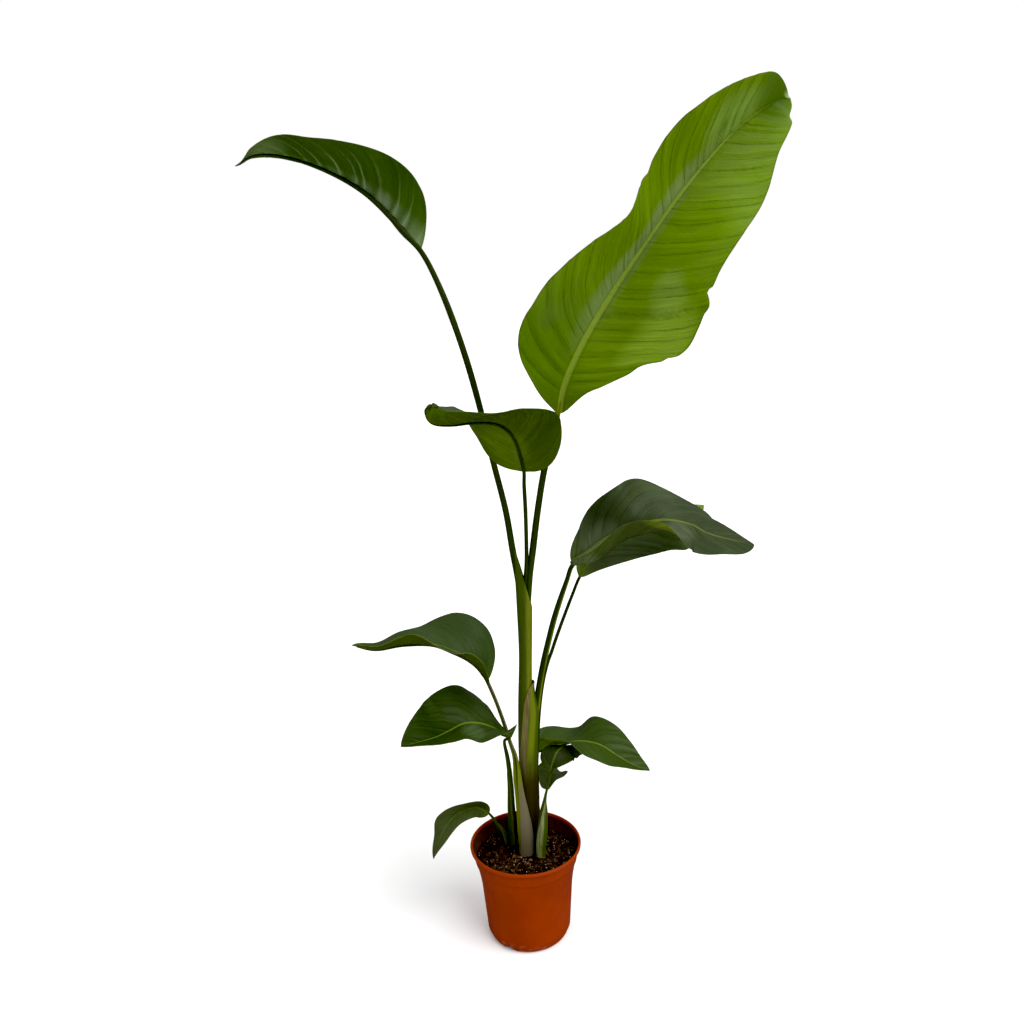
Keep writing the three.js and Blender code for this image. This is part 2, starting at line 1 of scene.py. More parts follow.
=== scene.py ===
"""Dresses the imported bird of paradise: its pot, soil, stems and leaves, with a stage and a camera."""
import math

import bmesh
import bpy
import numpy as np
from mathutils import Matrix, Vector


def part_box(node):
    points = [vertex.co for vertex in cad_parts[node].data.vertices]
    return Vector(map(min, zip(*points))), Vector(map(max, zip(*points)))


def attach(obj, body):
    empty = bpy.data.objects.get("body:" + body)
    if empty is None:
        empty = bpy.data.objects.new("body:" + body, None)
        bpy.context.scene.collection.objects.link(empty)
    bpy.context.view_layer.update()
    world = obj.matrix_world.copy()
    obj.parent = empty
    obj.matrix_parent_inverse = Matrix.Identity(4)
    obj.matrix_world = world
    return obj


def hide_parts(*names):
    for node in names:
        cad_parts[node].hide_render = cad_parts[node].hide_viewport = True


bl_info = {
    "name": "Potted bird of paradise",
    "version": (1, 0, 0),
    "blender": (4, 5, 0),
    "location": "View3D > Sidebar > Plant",
    "description": "Builds a potted bird of paradise round its packed CAD frame",
    "category": "Object",
}

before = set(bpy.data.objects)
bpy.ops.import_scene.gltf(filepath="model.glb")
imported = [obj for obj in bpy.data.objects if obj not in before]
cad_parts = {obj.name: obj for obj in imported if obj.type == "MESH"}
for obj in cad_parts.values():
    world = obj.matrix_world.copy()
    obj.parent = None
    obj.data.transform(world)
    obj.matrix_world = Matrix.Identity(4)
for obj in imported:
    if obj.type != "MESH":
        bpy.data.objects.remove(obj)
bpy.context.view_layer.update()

MM = 0.001
POT_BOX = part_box("pot")
SOIL_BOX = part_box("soil")


def srgb(*values):
    """Display colour, 0 to 255, as the linear colour that a material takes."""
    shares = [v / 255 for v in values]
    return tuple(s / 12.92 if s <= 0.04045 else ((s + 0.055) / 1.055) ** 2.4 for s in shares)


# ---------- sizes, in millimetres unless a name says otherwise ----------
STALK_END = 102  # where the stems end, inside the soil
SOCKET_END = 540  # where two stalks end, inside the main sheath
KEEL_STEPS = 60  # points of the keel under a blade
STREWN_RADIUS_M = 0.083  # of the soil's open surface, in metres
SHOOT = {
    "axis": [[18, 8, 660], [17, 8, 603], [15, 8, 517], [11, 8, 428], [8.5, 9, 337], [8, 9, 242],
             [5, 10, 145], [5, 10, STALK_END]],
    "radius": [14.5, 12.3, 10.7, 12, 12.8, 12.8, 12.4, 12],
    "mouth": ((15, 649), (29, 596)),
    "wrap": 1.4,
}
WRAP_MARGIN = [[25, 461], [21, 457], [17, 452], [13.5, 443], [10.5, 434], [7.5, 422], [6, 409],
               [3, 378], [-3, 329], [-6, 250], [-8, 90]]

LEAVES = {
    "leaf_high_left": {
        "midrib": [[-110, 0, 1154], [-142, -12, 1194], [-180, -24, 1233], [-226, -36, 1261],
                   [-278, -48, 1280], [-321, -58, 1284], [-348, -66, 1269]],
        "face": [[0.4, 0.45, 0.7], [0.1, 0.35, 0.9], [0, 0.15, 0.98], [-0.2, 0.1, 0.98]],
        "half": [82, 82], "shape": [0.5, 0.75], "sweep": [0.2],
        "right": {"fold": [15, 30, 25, 15, 10, 5], "wide": [0.85, 1, 1.05, 1, 0.95]},
        "left": {"fold": [90, 40, 15, 5, 5, -20], "wide": [0.8, 0.85, 0.9, 1.05, 1.05, 0.95]},
        "stalk": [[-97, 5, 1123], [-77, 6, 1070], [-56, 7, 999], [-39, 8, 925], [-22, 8, 835],
                  [-6, 8, 754], [2, 8, 688], [8, 8, 646], [13, 8, 600], [15, 8, 560]],
        "radius": [4, 4.6, 4.8, 4.9, 4.7, 4.7, 4.8, 5, 5.4, 5.7, 5.7],
        "pleats": 13, "depth": 1.0, "slant": [0.5, 0.5],
    },
    "leaf_high_right": {
        "midrib": [[80, -20, 905], [89, -34, 949], [116, -48, 1008], [151, -58, 1066],
                   [195, -62, 1128], [244, -60, 1191], [295, -52, 1249], [343, -42, 1294],
                   [390, -38, 1322], [413, -34, 1326]],
        "face": [[0.1, -0.98, 0], [0.1, -0.98, 0], [0.1, -0.98, 0.05], [0.1, -0.98, 0.1]],
        "half": [114, 120], "shape": [0.45, 0.55], "sweep": [0.1, 0.1, 0.1, 0.1, 0.3],
        "right": {"fold": [-10, -10, -5, 20, 30, 30, 15, 10, 0],
                  "wide": [0.45, 0.9, 1.25, 1.15, 1, 1, 1, 0.9, 0.95],
                  "nicks": [[0.19, 0.03, 0.08], [0.25, 0.014, 0.04], [0.46, 0.01, 0.05],
                            [0.43, 0.014, -0.03]]},
        "left": {"fold": [60, 35, 35, 45, 55, 30, 50, 55, 50],
                 "wide": [0.3, 1.15, 1.1, 0.95, 0.75, 0.65, 1, 1, 1.05],
                 "nicks": [[0.6, 0.016, 0.06], [1, 0.035, 0.85]]},
        "stalk": [[69, -10, 864], [55, -2, 809], [43, 4, 744], [34, 8, 686], [28, 8.5, 649],
                  [23, 9, 603], [19.5, 9, 565], [18, 9, SOCKET_END]],
        "radius": [4.5, 4.8, 5, 5.1, 5.3, 5.5, 5.2, 5, 4.8],
        "pleats": 24, "depth": 3.2, "slant": [0.55, 0.65], "lean": [0.8, -0.1],
    },
    "leaf_centre": {
        "midrib": [[25, -30, 822], [21, -42, 845], [15, -60, 871], [4, -84, 894], [-15, -112, 910],
                   [-45, -140, 916], [-72, -164, 917], [-97, -182, 923], [-104, -190, 941],
                   [-93, -194, 950]],
        "face": [[0, 0.95, 0.3], [-0.1, 0.85, 0.55], [0, 0.4, 0.9], [0, 0.3, 0.95],
                 [0.1, 0.4, 0.9]],
        "half": [78, 78], "shape": [0.35, 0.7], "sweep": [0.05],
        "right": {"fold": [15, 30, 30, 25, 30, 65, 150],
                  "wide": [1, 1, 0.95, 1, 0.9, 0.8, 1.1], "curl": [15, 10, 10, 20]},
        "left": {"fold": [-30, 0, -5, 0, 0, 10, 15],
                 "wide": [0.9, 0.95, 0.95, 0.95, 1.1, 1.05, 1.05], "curl": [10, 5, 5, 10]},
        "stalk": [[24.5, -18, 798], [25, -8, 757], [24.5, -1, 710], [23.5, 2, 676],
                  [21.5, 3.5, 652], [15.5, 4.5, 606], [12, 4, 565], [11, 4, SOCKET_END]],
        "radius": [2.8, 3.1, 3.1, 3.1, 3.2, 3.2, 2.8, 2.4, 2.2],
        "pleats": 16, "depth": 0.7, "slant": [0.9, 0.9],
    },
    "leaf_right_front": {
        "midrib": [[94, 0, 664], [120, -6, 681], [150, -12, 704], [187, -18, 722],
                   [234, -26, 735], [276, -34, 728], [306, -40, 712], [371, -48, 694]],
        "face": [[-0.5, 0, 0.8], [-0.1, -0.1, 0.95], [0.1, -0.15, 0.95], [0.3, -0.15, 0.9]],
        "half": [82, 80], "shape": [0.4, 0.7], "sweep": [0.15],
        "right": {"fold": [-25, -40, -30, -30, -10, -10, -20],
                  "wide": [1, 1.05, 1, 1, 0.95, 1, 1.2], "curl": [100, 110, 115, 95, -5, 0, 0]},
        "left": {"fold": [50, 55, 75, 20, 10, 10, -5],
                 "wide": [0.75, 0.75, 0.85, 1.05, 1.1, 1, 1.05], "curl": [-15, 5, -15, 0]},
        "stalk": [[87, 4, 636], [74.5, 5, 602], [63, 6, 567], [53, 7, 530], [43, 8, 490],
                  [34, 8, 445], [26, 8, 391], [21, 8, 337], [17, 9, 242], [13, 10, 144],
                  [13, 10, STALK_END]],
        "radius": [3.8, 4.6, 4.9, 5.1, 5.4, 5.7, 6.8, 8, 9.5, 9.5, 9.2, 9],
        "pleats": 13, "depth": 1.4, "slant": [0.9, 0.9],
    },
    "leaf_right_rear": {
        "midrib": [[108, 34, 631], [127, 36, 653], [159, 42, 677], [203, 50, 697],
                   [259, 60, 716], [320, 72, 730]],
        "face": [[-0.4, -0.35, 0.8], [-0.2, -0.4, 0.9], [-0.1, -0.4, 0.9]],
        "half": [66, 58], "shape": [0.4, 0.7],
        "right": {"fold": [25, 15, 5, -10, -40, -60], "wide": [0.9, 1.1, 1.05, 1.1, 1.35, 0.95]},
        "left": {"fold": [-10, -5, 0, 0, -5, -15], "wide": [1.1, 1.05, 1, 0.9, 0.85]},
        "stalk": [[98, 31, 605], [81.5, 29, 565], [67.5, 28, 529], [58.5, 27, 504], [50, 26, 482],
                  [40, 27, 440], [32, 28, 380], [25, 28, 290], [19, 27, 200], [18, 26, 148],
                  [18, 26, STALK_END]],
        "radius": [2.6, 2.8, 2.9, 3, 3.1, 3.1, 3.1, 3.1, 3, 3, 3, 3],
        "pleats": 10, "depth": 1.6, "slant": [0.9, 0.9],
    },
    "leaf_left_arching": {
        "midrib": [[-48, 0, 471], [-57, -8, 494], [-75, -16, 516], [-102, -24, 535],
                   [-132, -34, 552], [-178, -44, 557], [-219, -52, 554], [-254, -58, 566]],
        "face": [[0.55, -0.1, 0.8], [0.25, -0.15, 0.95], [0, -0.1, 1], [0, -0.1, 1]],
        "half": [58, 60], "shape": [0.45, 0.8],
        "right": {"fold": [55, 45, 25, 5, 5, 0, 10],
                  "wide": [1, 1.25, 1.3, 1, 0.95, 0.95, 1.1], "curl": [-20, 0, -5, -5]},
        "left": {"fold": [-20, 0, 25, 15, 30, 40, 35],
                 "wide": [0.7, 0.95, 1.1, 1.05, 1, 1, 1], "curl": [30, 45, 5, 40, -5, 25]},
        "stalk": [[-37, -1, 432], [-24.6, -2, 388], [-18, -4, 361], [-12, -7, 340],
                  [-9.6, -7, 318], [-8.3, -8, 290], [-5.5, -8, 258], [-2, -8, 222], [0.5, -7, 185],
                  [0.5, -6, 150], [0.5, -6, STALK_END]],
        "radius": [3.1, 3.1, 3.3, 3.3, 4.2, 6.6, 7.6, 10, 12.4, 12.8, 12.5, 12],
        "flat": [1, 1, 1, 1, 0.85, 0.7, 0.65, 0.6, 0.6, 0.6, 0.6, 0.6],
        "pleats": 12, "depth": 0.6, "slant": [1.0, 1.0],
    },
    "leaf_left_low": {
        "midrib": [[-15, -20, 377], [-30, -25, 388], [-47, -31, 403], [-69, -37, 414],
                   [-91, -43, 416], [-114, -49, 408], [-141, -56, 400], [-190, -66, 394]],
        "face": [[0.3, -0.3, 0.8], [0, -0.45, 0.9], [-0.1, -0.5, 0.85], [-0.2, -0.5, 0.8]],
        "half": [60, 50], "shape": [0.55, 0.75],
        "right": {"fold": [-20, -15, -5, 35, 55, 35, 20],
                  "wide": [1, 1.1, 1.15, 1.1, 1.2, 1.2, 1.2]},
        "left": {"fold": [100, 50, 20, 30, 40, 45, 45], "wide": [1.6, 1.25, 1.15, 1, 1.1, 1.05, 1]},
        "stalk": [[-26, -13, 369], [-26.5, -6, 354], [-24.5, 0, 338], [-22.3, 5, 315],
                  [-21, 9, 290], [-20.6, 13, 260], [-21.2, 17, 230], [-21.2, 21, 198],
                  [-21.3, 24, 166], [-21.3, 25, 140], [-21.3, 25, STALK_END]],
        "radius": [2.4, 2.9, 3.6, 4.2, 4.7, 5.5, 6.3, 6.9, 7.2, 7.2, 7, 7],
        "pleats": 10, "depth": 1.0, "slant": [1.2, 1.2],
    },
    "leaf_right_low": {
        "midrib": [[15, 54, 306], [41, 51, 314], [67, 46, 323], [90, 39, 332], [115, 30, 335],
                   [138, 21, 331], [162, 13, 316], [189, 5, 301], [215, 0, 292]],
        "face": [[-0.3, -0.3, 0.9], [0, -0.45, 0.9], [0.3, -0.5, 0.8], [0.4, -0.5, 0.75]],
        "half": [50, 50], "shape": [0.5, 0.75],
        "right": {"fold": [80, 60, 50, 20, 15, 30, 45],
                  "wide": [1.05, 1, 0.95, 1.05, 1, 0.95, 0.95], "curl": [35, 25, 15, 10, 5]},
        "left": {"fold": [55, 0, -25, 20, 20, 10, 0], "wide": [1.2, 1.1, 1, 0.95, 0.95, 1, 1.05]},
        "stalk": [[8, 54, 292], [5, 51, 265], [8, 44, 210], [13, 38, 148], [13, 37, STALK_END]],
        "radius": [2.2, 2.3, 2.4, 2.8, 3.5, 3.5],
        "pleats": 11, "depth": 0.8, "slant": [1.1, 1.1],
    },
    "leaf_right_small": {
        "midrib": [[49, -8, 305], [53, -3, 320], [60, 5, 333], [72, 15, 337], [87, 26, 333],
                   [103, 34, 324], [118, 40, 310]],
        "face": [[-0.5, -0.4, 0.6], [-0.3, -0.45, 0.8], [-0.1, -0.5, 0.85], [0.1, -0.55, 0.8]],
        "half": [30, 20], "shape": [0.5, 0.7],
        "right": {"fold": [50, -20, -15, -30, -70], "wide": [1.1, 1.15, 0.9, 0.9, 0.95]},
        "left": {"fold": [10, -15, -65, -40], "wide": [2.3, 1.3, 0.5, 0.8]},
        "stalk": [[46, -12, 298], [41.5, -15, 281], [37, -17, 264], [34.5, -18, 250],
                  [32.5, -18, 233], [30, -17, 210], [27.5, -16, 188], [25.5, -16, 165],
                  [25, -16, 140], [25, -16, STALK_END]],
        "radius": [1.9, 2, 2.9, 5.9, 7.5, 8.8, 9.1, 7.8, 6.6, 6.5, 6.5],
        "flat": [1, 1, 1, 0.8, 0.75, 0.75, 0.75, 0.75, 0.8, 0.8, 0.8],
        "pleats": 9, "depth": 0.5, "slant": [1.0, 1.0],
    },
    "leaf_rear_small": {
        "midrib": [[28, 52, 281], [40, 44, 279], [53, 36, 277], [65, 30, 277], [78, 26, 282]],
        "face": [[0, -0.5, 0.85], [0.2, -0.5, 0.85]],
        "half": [26, 20], "shape": [0.6, 0.7],
        "right": {"fold": [-40, -30, -25, 30, 30], "wide": [1, 1.25, 1.15, 1, 1]},
        "left": {"fold": [10, -30, -45, -40, -45], "wide": [1.8, 1.5, 1, 1]},
        "stalk": [[24, 54, 262], [25, 54, 225], [27, 52, 185], [28, 50, 148], [28, 50, STALK_END]],
        "radius": [1.7, 1.8, 1.9, 2.2, 2.6, 2.6],
        "pleats": 8, "depth": 0.4, "slant": [1.0, 1.0],
    },
    "leaf_over_rim": {
        "midrib": [[-60, 14, 218], [-78, 6, 235], [-98, -4, 238], [-117, -12, 232],
                   [-134, -20, 215], [-147, -26, 191], [-156, -30, 164]],
        "face": [[0.3, -0.6, 0.75], [-0.1, -0.9, 0.4], [-0.3, -0.9, 0.3], [-0.5, -0.8, 0.2]],
        "half": [21, 20], "shape": [0.5, 0.7],
        "right": {"fold": [50, 65, 40, -25, -10], "wide": [0.9, 1.15, 1.15, 1, 1]},
        "left": {"fold": [-20, 35, 30, 25, 60], "wide": [1.3, 1.05, 0.95, 0.95, 1]},
        "stalk": [[-54, 17, 206], [-47.5, 20, 191], [-41.5, 24, 178], [-36.5, 28, 161],
                  [-33.5, 31, 146], [-33, 32, 125], [-33, 32, STALK_END]],
        "radius": [2.1, 2.7, 4.3, 5.2, 5.6, 5.5, 5.3, 5],
        "pleats": 9, "depth": 0.4, "slant": [1.0, 1.0],
    },
}

# How each blade is coloured: its tone, tints on its two faces, and how strong its marks are.
# `upper` and `lower` list soft areas: place along and across, spans, colour and strength;
# some are the blade's own lighter or darker green, some are painted sheen and painted highlights.
PLAIN_LOOK = {
    "shade": (1, 1, 1), "under": (1, 1, 1), "edge": (1, 1, 1), "glow": 0.2, "lines": 0.6,
    "vein": 0.12, "gloss": 0.18, "rough": 0.42, "bloom": 0.12, "flush": 0.4, "rib": 0.4,
    "smooth_from": (1.0, 1.1), "upper": [], "lower": [],
}
LOOKS = {
    "leaf_high_left": {
        "tone": "deep", "glow": 0.9, "vein": 0.16,
        "lower": [[0.12, 0.3, 0.16, 0.9, srgb(60, 86, 14), 0.7],
                  [0.2, -0.2, 0.2, 0.35, srgb(52, 74, 40), 0.6],
                  [0.92, 0.45, 0.16, 0.9, srgb(86, 104, 52), 0.85]],
    },
    "leaf_high_right": {
        "tone": "fresh", "glow": 0.3, "lines": 0.9, "rib": 0.9, "rough": 0.38, "gloss": 0.1,
        "flush": 0.7, "smooth_from": (0.87, 0.94),
        # the pale areas are painted sheen on the left half and painted highlights on the right half;
        # the darker ones are the blade's own green
        "upper": [[0.5, 0.12, 0.3, 0.22, srgb(120, 136, 94), 0.6],
                  [0.85, 0.35, 0.1, 0.45, srgb(130, 160, 84), 0.4],
                  [0.97, 0.3, 0.07, 1.2, srgb(58, 86, 4), 0.75],
                  [0.14, 0.6, 0.18, 0.6, srgb(60, 92, 2), 0.5],
                  [0.3, -0.75, 0.12, 0.3, srgb(150, 182, 60), 0.5],
                  [0.42, -0.55, 0.06, 0.2, srgb(132, 160, 84), 0.3],
                  [0.75, -0.9, 0.2, 0.3, srgb(112, 144, 16), 0.25],
                  [1.0, 0.7, 0.022, 0.45, srgb(168, 190, 112), 1.0]],
    },
    "leaf_centre": {
        "tone": "olive", "glow": 0.08, "lines": 0.9,
        "lower": [[0.15, -0.3, 0.2, 0.5, srgb(84, 108, 8), 0.8],
                  [0.1, 0.7, 0.2, 0.4, srgb(34, 52, 2), 0.3]],
    },
    "leaf_right_front": {
        "tone": "grey", "under": (0.8, 0.8, 1.9), "glow": 0.1, "lines": 0.8,
        "rough": 0.36, "gloss": 0.12, "bloom": 0.3,
        "upper": [[0.6, -0.4, 0.1, 0.4, srgb(96, 108, 80), 0.5],
                  [0.08, 0.5, 0.12, 0.8, srgb(76, 88, 58), 0.7],
                  [0.2, 0.0, 0.12, 0.5, srgb(100, 112, 80), 0.6]],
        "lower": [[0.5, -1.02, 0.08, 0.2, srgb(104, 118, 22), 0.7],
                  [0.08, -0.6, 0.08, 0.8, srgb(88, 102, 66), 0.7]],
    },
    "leaf_right_rear": {
        "tone": "grey", "shade": (2.6, 2.8, 2), "under": (0.9, 0.95, 0.6),
        "lines": 0.7, "rib": 0.35, "gloss": 0.08,
        "upper": [[0.1, -0.3, 0.2, 1.0, srgb(66, 84, 8), 0.7],
                  [1.0, 0.0, 0.08, 1.0, srgb(120, 140, 50), 0.8]],
    },
    "leaf_left_arching": {
        "tone": "grey", "shade": (1, 1.2, 0.8), "under": (0.95, 1.05, 0.45), "glow": 0.1,
        "lines": 0.35, "rib": 0.25, "gloss": 0.12, "edge": (1.3, 1.3, 1.3),
    },
    "leaf_left_low": {
        "tone": "deep", "shade": (0.95, 1, 0.7), "under": (1, 0.95, 1), "lines": 0.7,
        "rib": 0.5, "gloss": 0.12,
        "upper": [[0.4, 0.5, 0.1, 0.4, srgb(84, 104, 62), 0.5]],
    },
    "leaf_right_low": {
        # the underside's tint is raised far above its tone: painted light lifting a face that sits in
        # shade
        "tone": "deep", "shade": (1.3, 1.3, 1.1), "under": (4, 2.7, 0.9),
        "lines": 0.5, "rib": 0.5, "gloss": 0.15, "edge": (1.1, 1.1, 1.2),
    },
    "leaf_right_small": {
        "tone": "grey", "shade": (1, 1, 0.8), "under": (0.6, 0.65, 0.5),
        "lines": 0.4, "rib": 0.3,
    },
    "leaf_rear_small": {
        # both tints are raised far above the tone: painted light lifting a blade that sits in shade
        # under the leaf above
        "tone": "grey", "shade": (3.2, 2.9, 2.8), "under": (2.2, 2.2, 2.2),
        "lines": 0.4, "rib": 0.3,
    },
    "leaf_over_rim": {
        "tone": "grey", "shade": (1.6, 1.45, 1.1), "under": (0.9, 0.95, 0.7),
        "lines": 0.4, "rib": 0.15,
    },
}


# ---------- curves ----------
def unit(vectors):
    return vectors / np.maximum(np.linalg.norm(vectors, axis=-1, keepdims=True), 1e-9)


def along(values, t):
    """Numbers or triples given at even steps, read at t on a smooth curve through them."""
    known = np.asarray(values, float)
    if len(known) == 1:
        return np.full(np.shape(t), known[0])
    ends = np.concatenate([2 * known[:1] - known[1:2], known, 2 * known[-1:] - known[-2:-1]])
    x = np.clip(t, 0, 1) * (len(known) - 1)
    i = np.minimum(x.astype(int), len(known) - 2)
    u = (x - i) if known.ndim == 1 else (x - i)[:, None]
    a, b, c, d = (ends[i + k] for k in range(4))
    return 0.5 * (2 * b + (c - a) * u + (2 * a - 5 * b + 4 * c - d) * u * u
                  + (3 * b - a - 3 * c + d) * u ** 3)


def spine(points, count):
    """Evenly spaced points along a smooth curve through `points`."""
    steps = 24 * (len(points) - 1)
    dense = along(points, np.arange(steps + 1) / steps)
    reach = np.r_[0, np.cumsum(np.linalg.norm(np.diff(dense, axis=0), axis=1))]
    even = np.linspace(0, reach[-1], count + 1)
    return np.stack([np.interp(even, reach, column) for column in dense.T], -1)


def smooth(value, low, high):
    x = np.clip((value - low) / (high - low), 0, 1)
    return x * x * (3 - 2 * x)


def ripples(x, y, wavelength, seed, count=20):
    """A seamless random relief, about -1 to 1, from waves in random directions."""
    dice = np.random.default_rng(seed)
    total = 0
    for angle, phase, stretch in dice.uniform([0, 0, 0.7], [2 * np.pi, 2 * np.pi, 1.5], (count, 3)):
        run = (x * np.cos(angle) + y * np.sin(angle)) * 2 * np.pi * stretch / wavelength
        total = total + np.sin(run + phase)
    return total / math.sqrt(count)


# ---------- node trees ----------
class Graph:
    """Short ways to add nodes to a shader or geometry tree."""

    def __init__(self, tree):
        self.tree = tree

    def add(self, kind, *feeds, out=0, named=None, **settings):
        """Adds a node, sets it up, feeds its inputs by place or name, and gives an output."""
        made = self.tree.nodes.new(kind)
        for key, value in settings.items():
            setattr(made, key, value)
        for key, value in [*enumerate(feeds), *(named or {}).items()]:
            if isinstance(value, bpy.types.NodeSocket):
                self.tree.links.new(value, made.inputs[key])
            elif value is not None:
                made.inputs[key].default_value = value
        return made.outputs[out]

    def math(self, operation, *feeds):
        return self.add("ShaderNodeMath", *feeds, operation=operation)

    def plus(self, *feeds):
        return self.math("ADD", *feeds)

    def minus(self, *feeds):
        return self.math("SUBTRACT", *feeds)

    def times(self, *feeds):
        return self.math("MULTIPLY", *feeds)

    def vector(self, operation, *feeds, **named):
        return self.add("ShaderNodeVectorMath", *feeds, operation=operation, named=named)

    def remap(self, value, low, high, to_low=0.0, to_high=1.0):
        return self.add("ShaderNodeMapRange", value, low, high, to_low, to_high,
                        interpolation_type="SMOOTHSTEP")

    def mix(self, factor, a, b, blend="MIX"):
        a, b = (c if isinstance(c, bpy.types.NodeSocket) else (*c[:3], 1) for c in (a, b))
        return self.add("ShaderNodeMix", data_type="RGBA", blend_type=blend, out=2,
                        named={0: factor, 6: a, 7: b})

    def noise(self, vector, scale, detail=3.0, rough=0.55, out=0):
        return self.add("ShaderNodeTexNoise", out=out, named={
            "Vector": vector, "Scale": scale, "Detail": detail, "Roughness": rough})

    def split(self, vector):
        return self.add("ShaderNodeSeparateXYZ", vector).node.outputs

    def scaled(self, vector, factors):
        return self.vector("MULTIPLY", vector, factors)


class Paint(Graph):
    """A procedural material round one Principled shader, painted coat by coat."""

    def __init__(self, name, roughness=0.5, specular=0.3):
        self.material = bpy.data.materials.new(name)
        self.material.use_nodes = True
        super().__init__(self.material.node_tree)
        self.shader = self.tree.nodes["Principled BSDF"]
        self.shader.inputs["Roughness"].default_value = roughness
        self.shader.inputs["Specular IOR Level"].default_value = specular
        self.place = self.add("ShaderNodeTexCoord", out=3)

    def mark(self, name, vector=False):
        """Reads an attribute of the mesh."""
        return self.add("ShaderNodeAttribute", out=1 if vector else 2, attribute_name=name)

    def start(self, mask, a, b):
        """The first coat: two shades, mixed where the mask says."""
        self.colour = self.mix(mask, a, b)

    def coat(self, mask, shade, strength=None):
        """Lays a shade over what is painted so far, where the mask says."""
        if strength is not None:
            mask = self.times(mask, strength)
        self.colour = self.mix(mask, self.colour, shade)

    def finish(self, roughness=None, height=None, distance=0.0005, strength=0.6):
        self.tree.links.new(self.colour, self.shader.inputs["Base Color"])
        if roughness is not None:
            self.tree.links.new(roughness, self.shader.inputs["Roughness"])
        if height is not None:
            bump = self.add("ShaderNodeBump", named={
                "Strength": strength, "Distance": distance, "Height": height})
            self.tree.links.new(bump, self.shader.inputs["Normal"])
        return self.material


def new_group(name, sockets):
    """A Geometry Nodes group with named inputs; gives its graph and its input sockets."""
    group = bpy.data.node_groups.new(name, "GeometryNodeTree")
    face = group.interface
    face.new_socket("Geometry", in_out="INPUT", socket_type="NodeSocketGeometry")
    for label, kind in sockets.items():
        face.new_socket(label, in_out="INPUT", socket_type="NodeSocket" + kind)
    face.new_socket("Geometry", in_out="OUTPUT", socket_type="NodeSocketGeometry")
    graph = Graph(group)
    source = group.nodes.new("NodeGroupInput")
    return graph, {s.name: s for s in source.outputs if s.name}


def end_group(graph, geometry, material):
    """Realizes what was instanced, gives it its material and ends the tree."""
    realized = graph.add("GeometryNodeRealizeInstances", geometry)
    painted = graph.add("GeometryNodeSetMaterial", realized, named={"Material": material})
    sink = graph.tree.nodes.new("NodeGroupOutput")
    graph.tree.links.new(painted, sink.inputs[0])
    return graph.tree


def attribute(graph, name, kind="FLOAT"):
    return graph.add("GeometryNodeInputNamedAttribute", data_type=kind, named={"Name": name})


def store(graph, geometry, name, value, kind="FLOAT", domain="POINT"):
    return graph.add("GeometryNodeStoreNamedAttribute", geometry, data_type=kind, domain=domain,
                     named={"Name": name, "Value": value})


def relief_tree():
    """Raises a blade into pleats between its side veins, with a groove along its midrib."""
    graph, given = new_group("Blade relief", {
        "Pleat Depth": "Float", "Rib Groove": "Float", "Wave": "Float", "Wave Scale": "Float",
        "Seed": "Float", "Material": "Material"})
    phase, side, run = graph.split(attribute(graph, "vein", "FLOAT_VECTOR"))[:3]
    across = graph.math("ABSOLUTE", side)
    rib = attribute(graph, "rib")
    saw = graph.math("PINGPONG", phase, 0.5)
    pillow = graph.minus(1.0, graph.math("POWER", graph.minus(1.0, graph.times(saw, 2.0)), 2.2))
    uneven = graph.add("ShaderNodeTexNoise", noise_dimensions="1D", named={
        "W": graph.plus(phase, given["Seed"]), "Scale": 0.8, "Detail": 1.0})
    strength = graph.remap(uneven, 0.3, 0.7, 0.35, 1.0)
    inward = graph.times(graph.remap(rib, 0.8, 4.0), graph.remap(across, 0.75, 1.0, 1.0, 0.3))
    ends = graph.times(graph.remap(run, 0.01, 0.1), graph.remap(run, 0.88, 1.0, 1.0, 0.0))
    pleat = graph.times(graph.times(pillow, strength),
                        graph.times(given["Pleat Depth"], graph.times(inward, ends)))
    groove = graph.times(graph.remap(rib, 0.0, 1.3, -1.0, 0.0),
                         graph.times(given["Rib Groove"], graph.remap(run, 0.0, 1.0, 1.0, 0.1)))
    swell = graph.add("ShaderNodeTexNoise", noise_dimensions="4D", named={
        "Vector": graph.add("GeometryNodeInputPosition"), "W": given["Seed"],
        "Scale": given["Wave Scale"], "Detail": 1.0})
    wave = graph.times(graph.minus(swell, 0.5),
                       graph.times(given["Wave"], graph.times(across, ends)))
    height = graph.plus(graph.plus(pleat, groove), wave)
    offset = graph.vector("SCALE", graph.add("GeometryNodeInputNormal"), Scale=height)
    raised = graph.add("GeometryNodeSetPosition", given["Geometry"], named={"Offset": offset})
    return end_group(graph, raised, given["Material"])


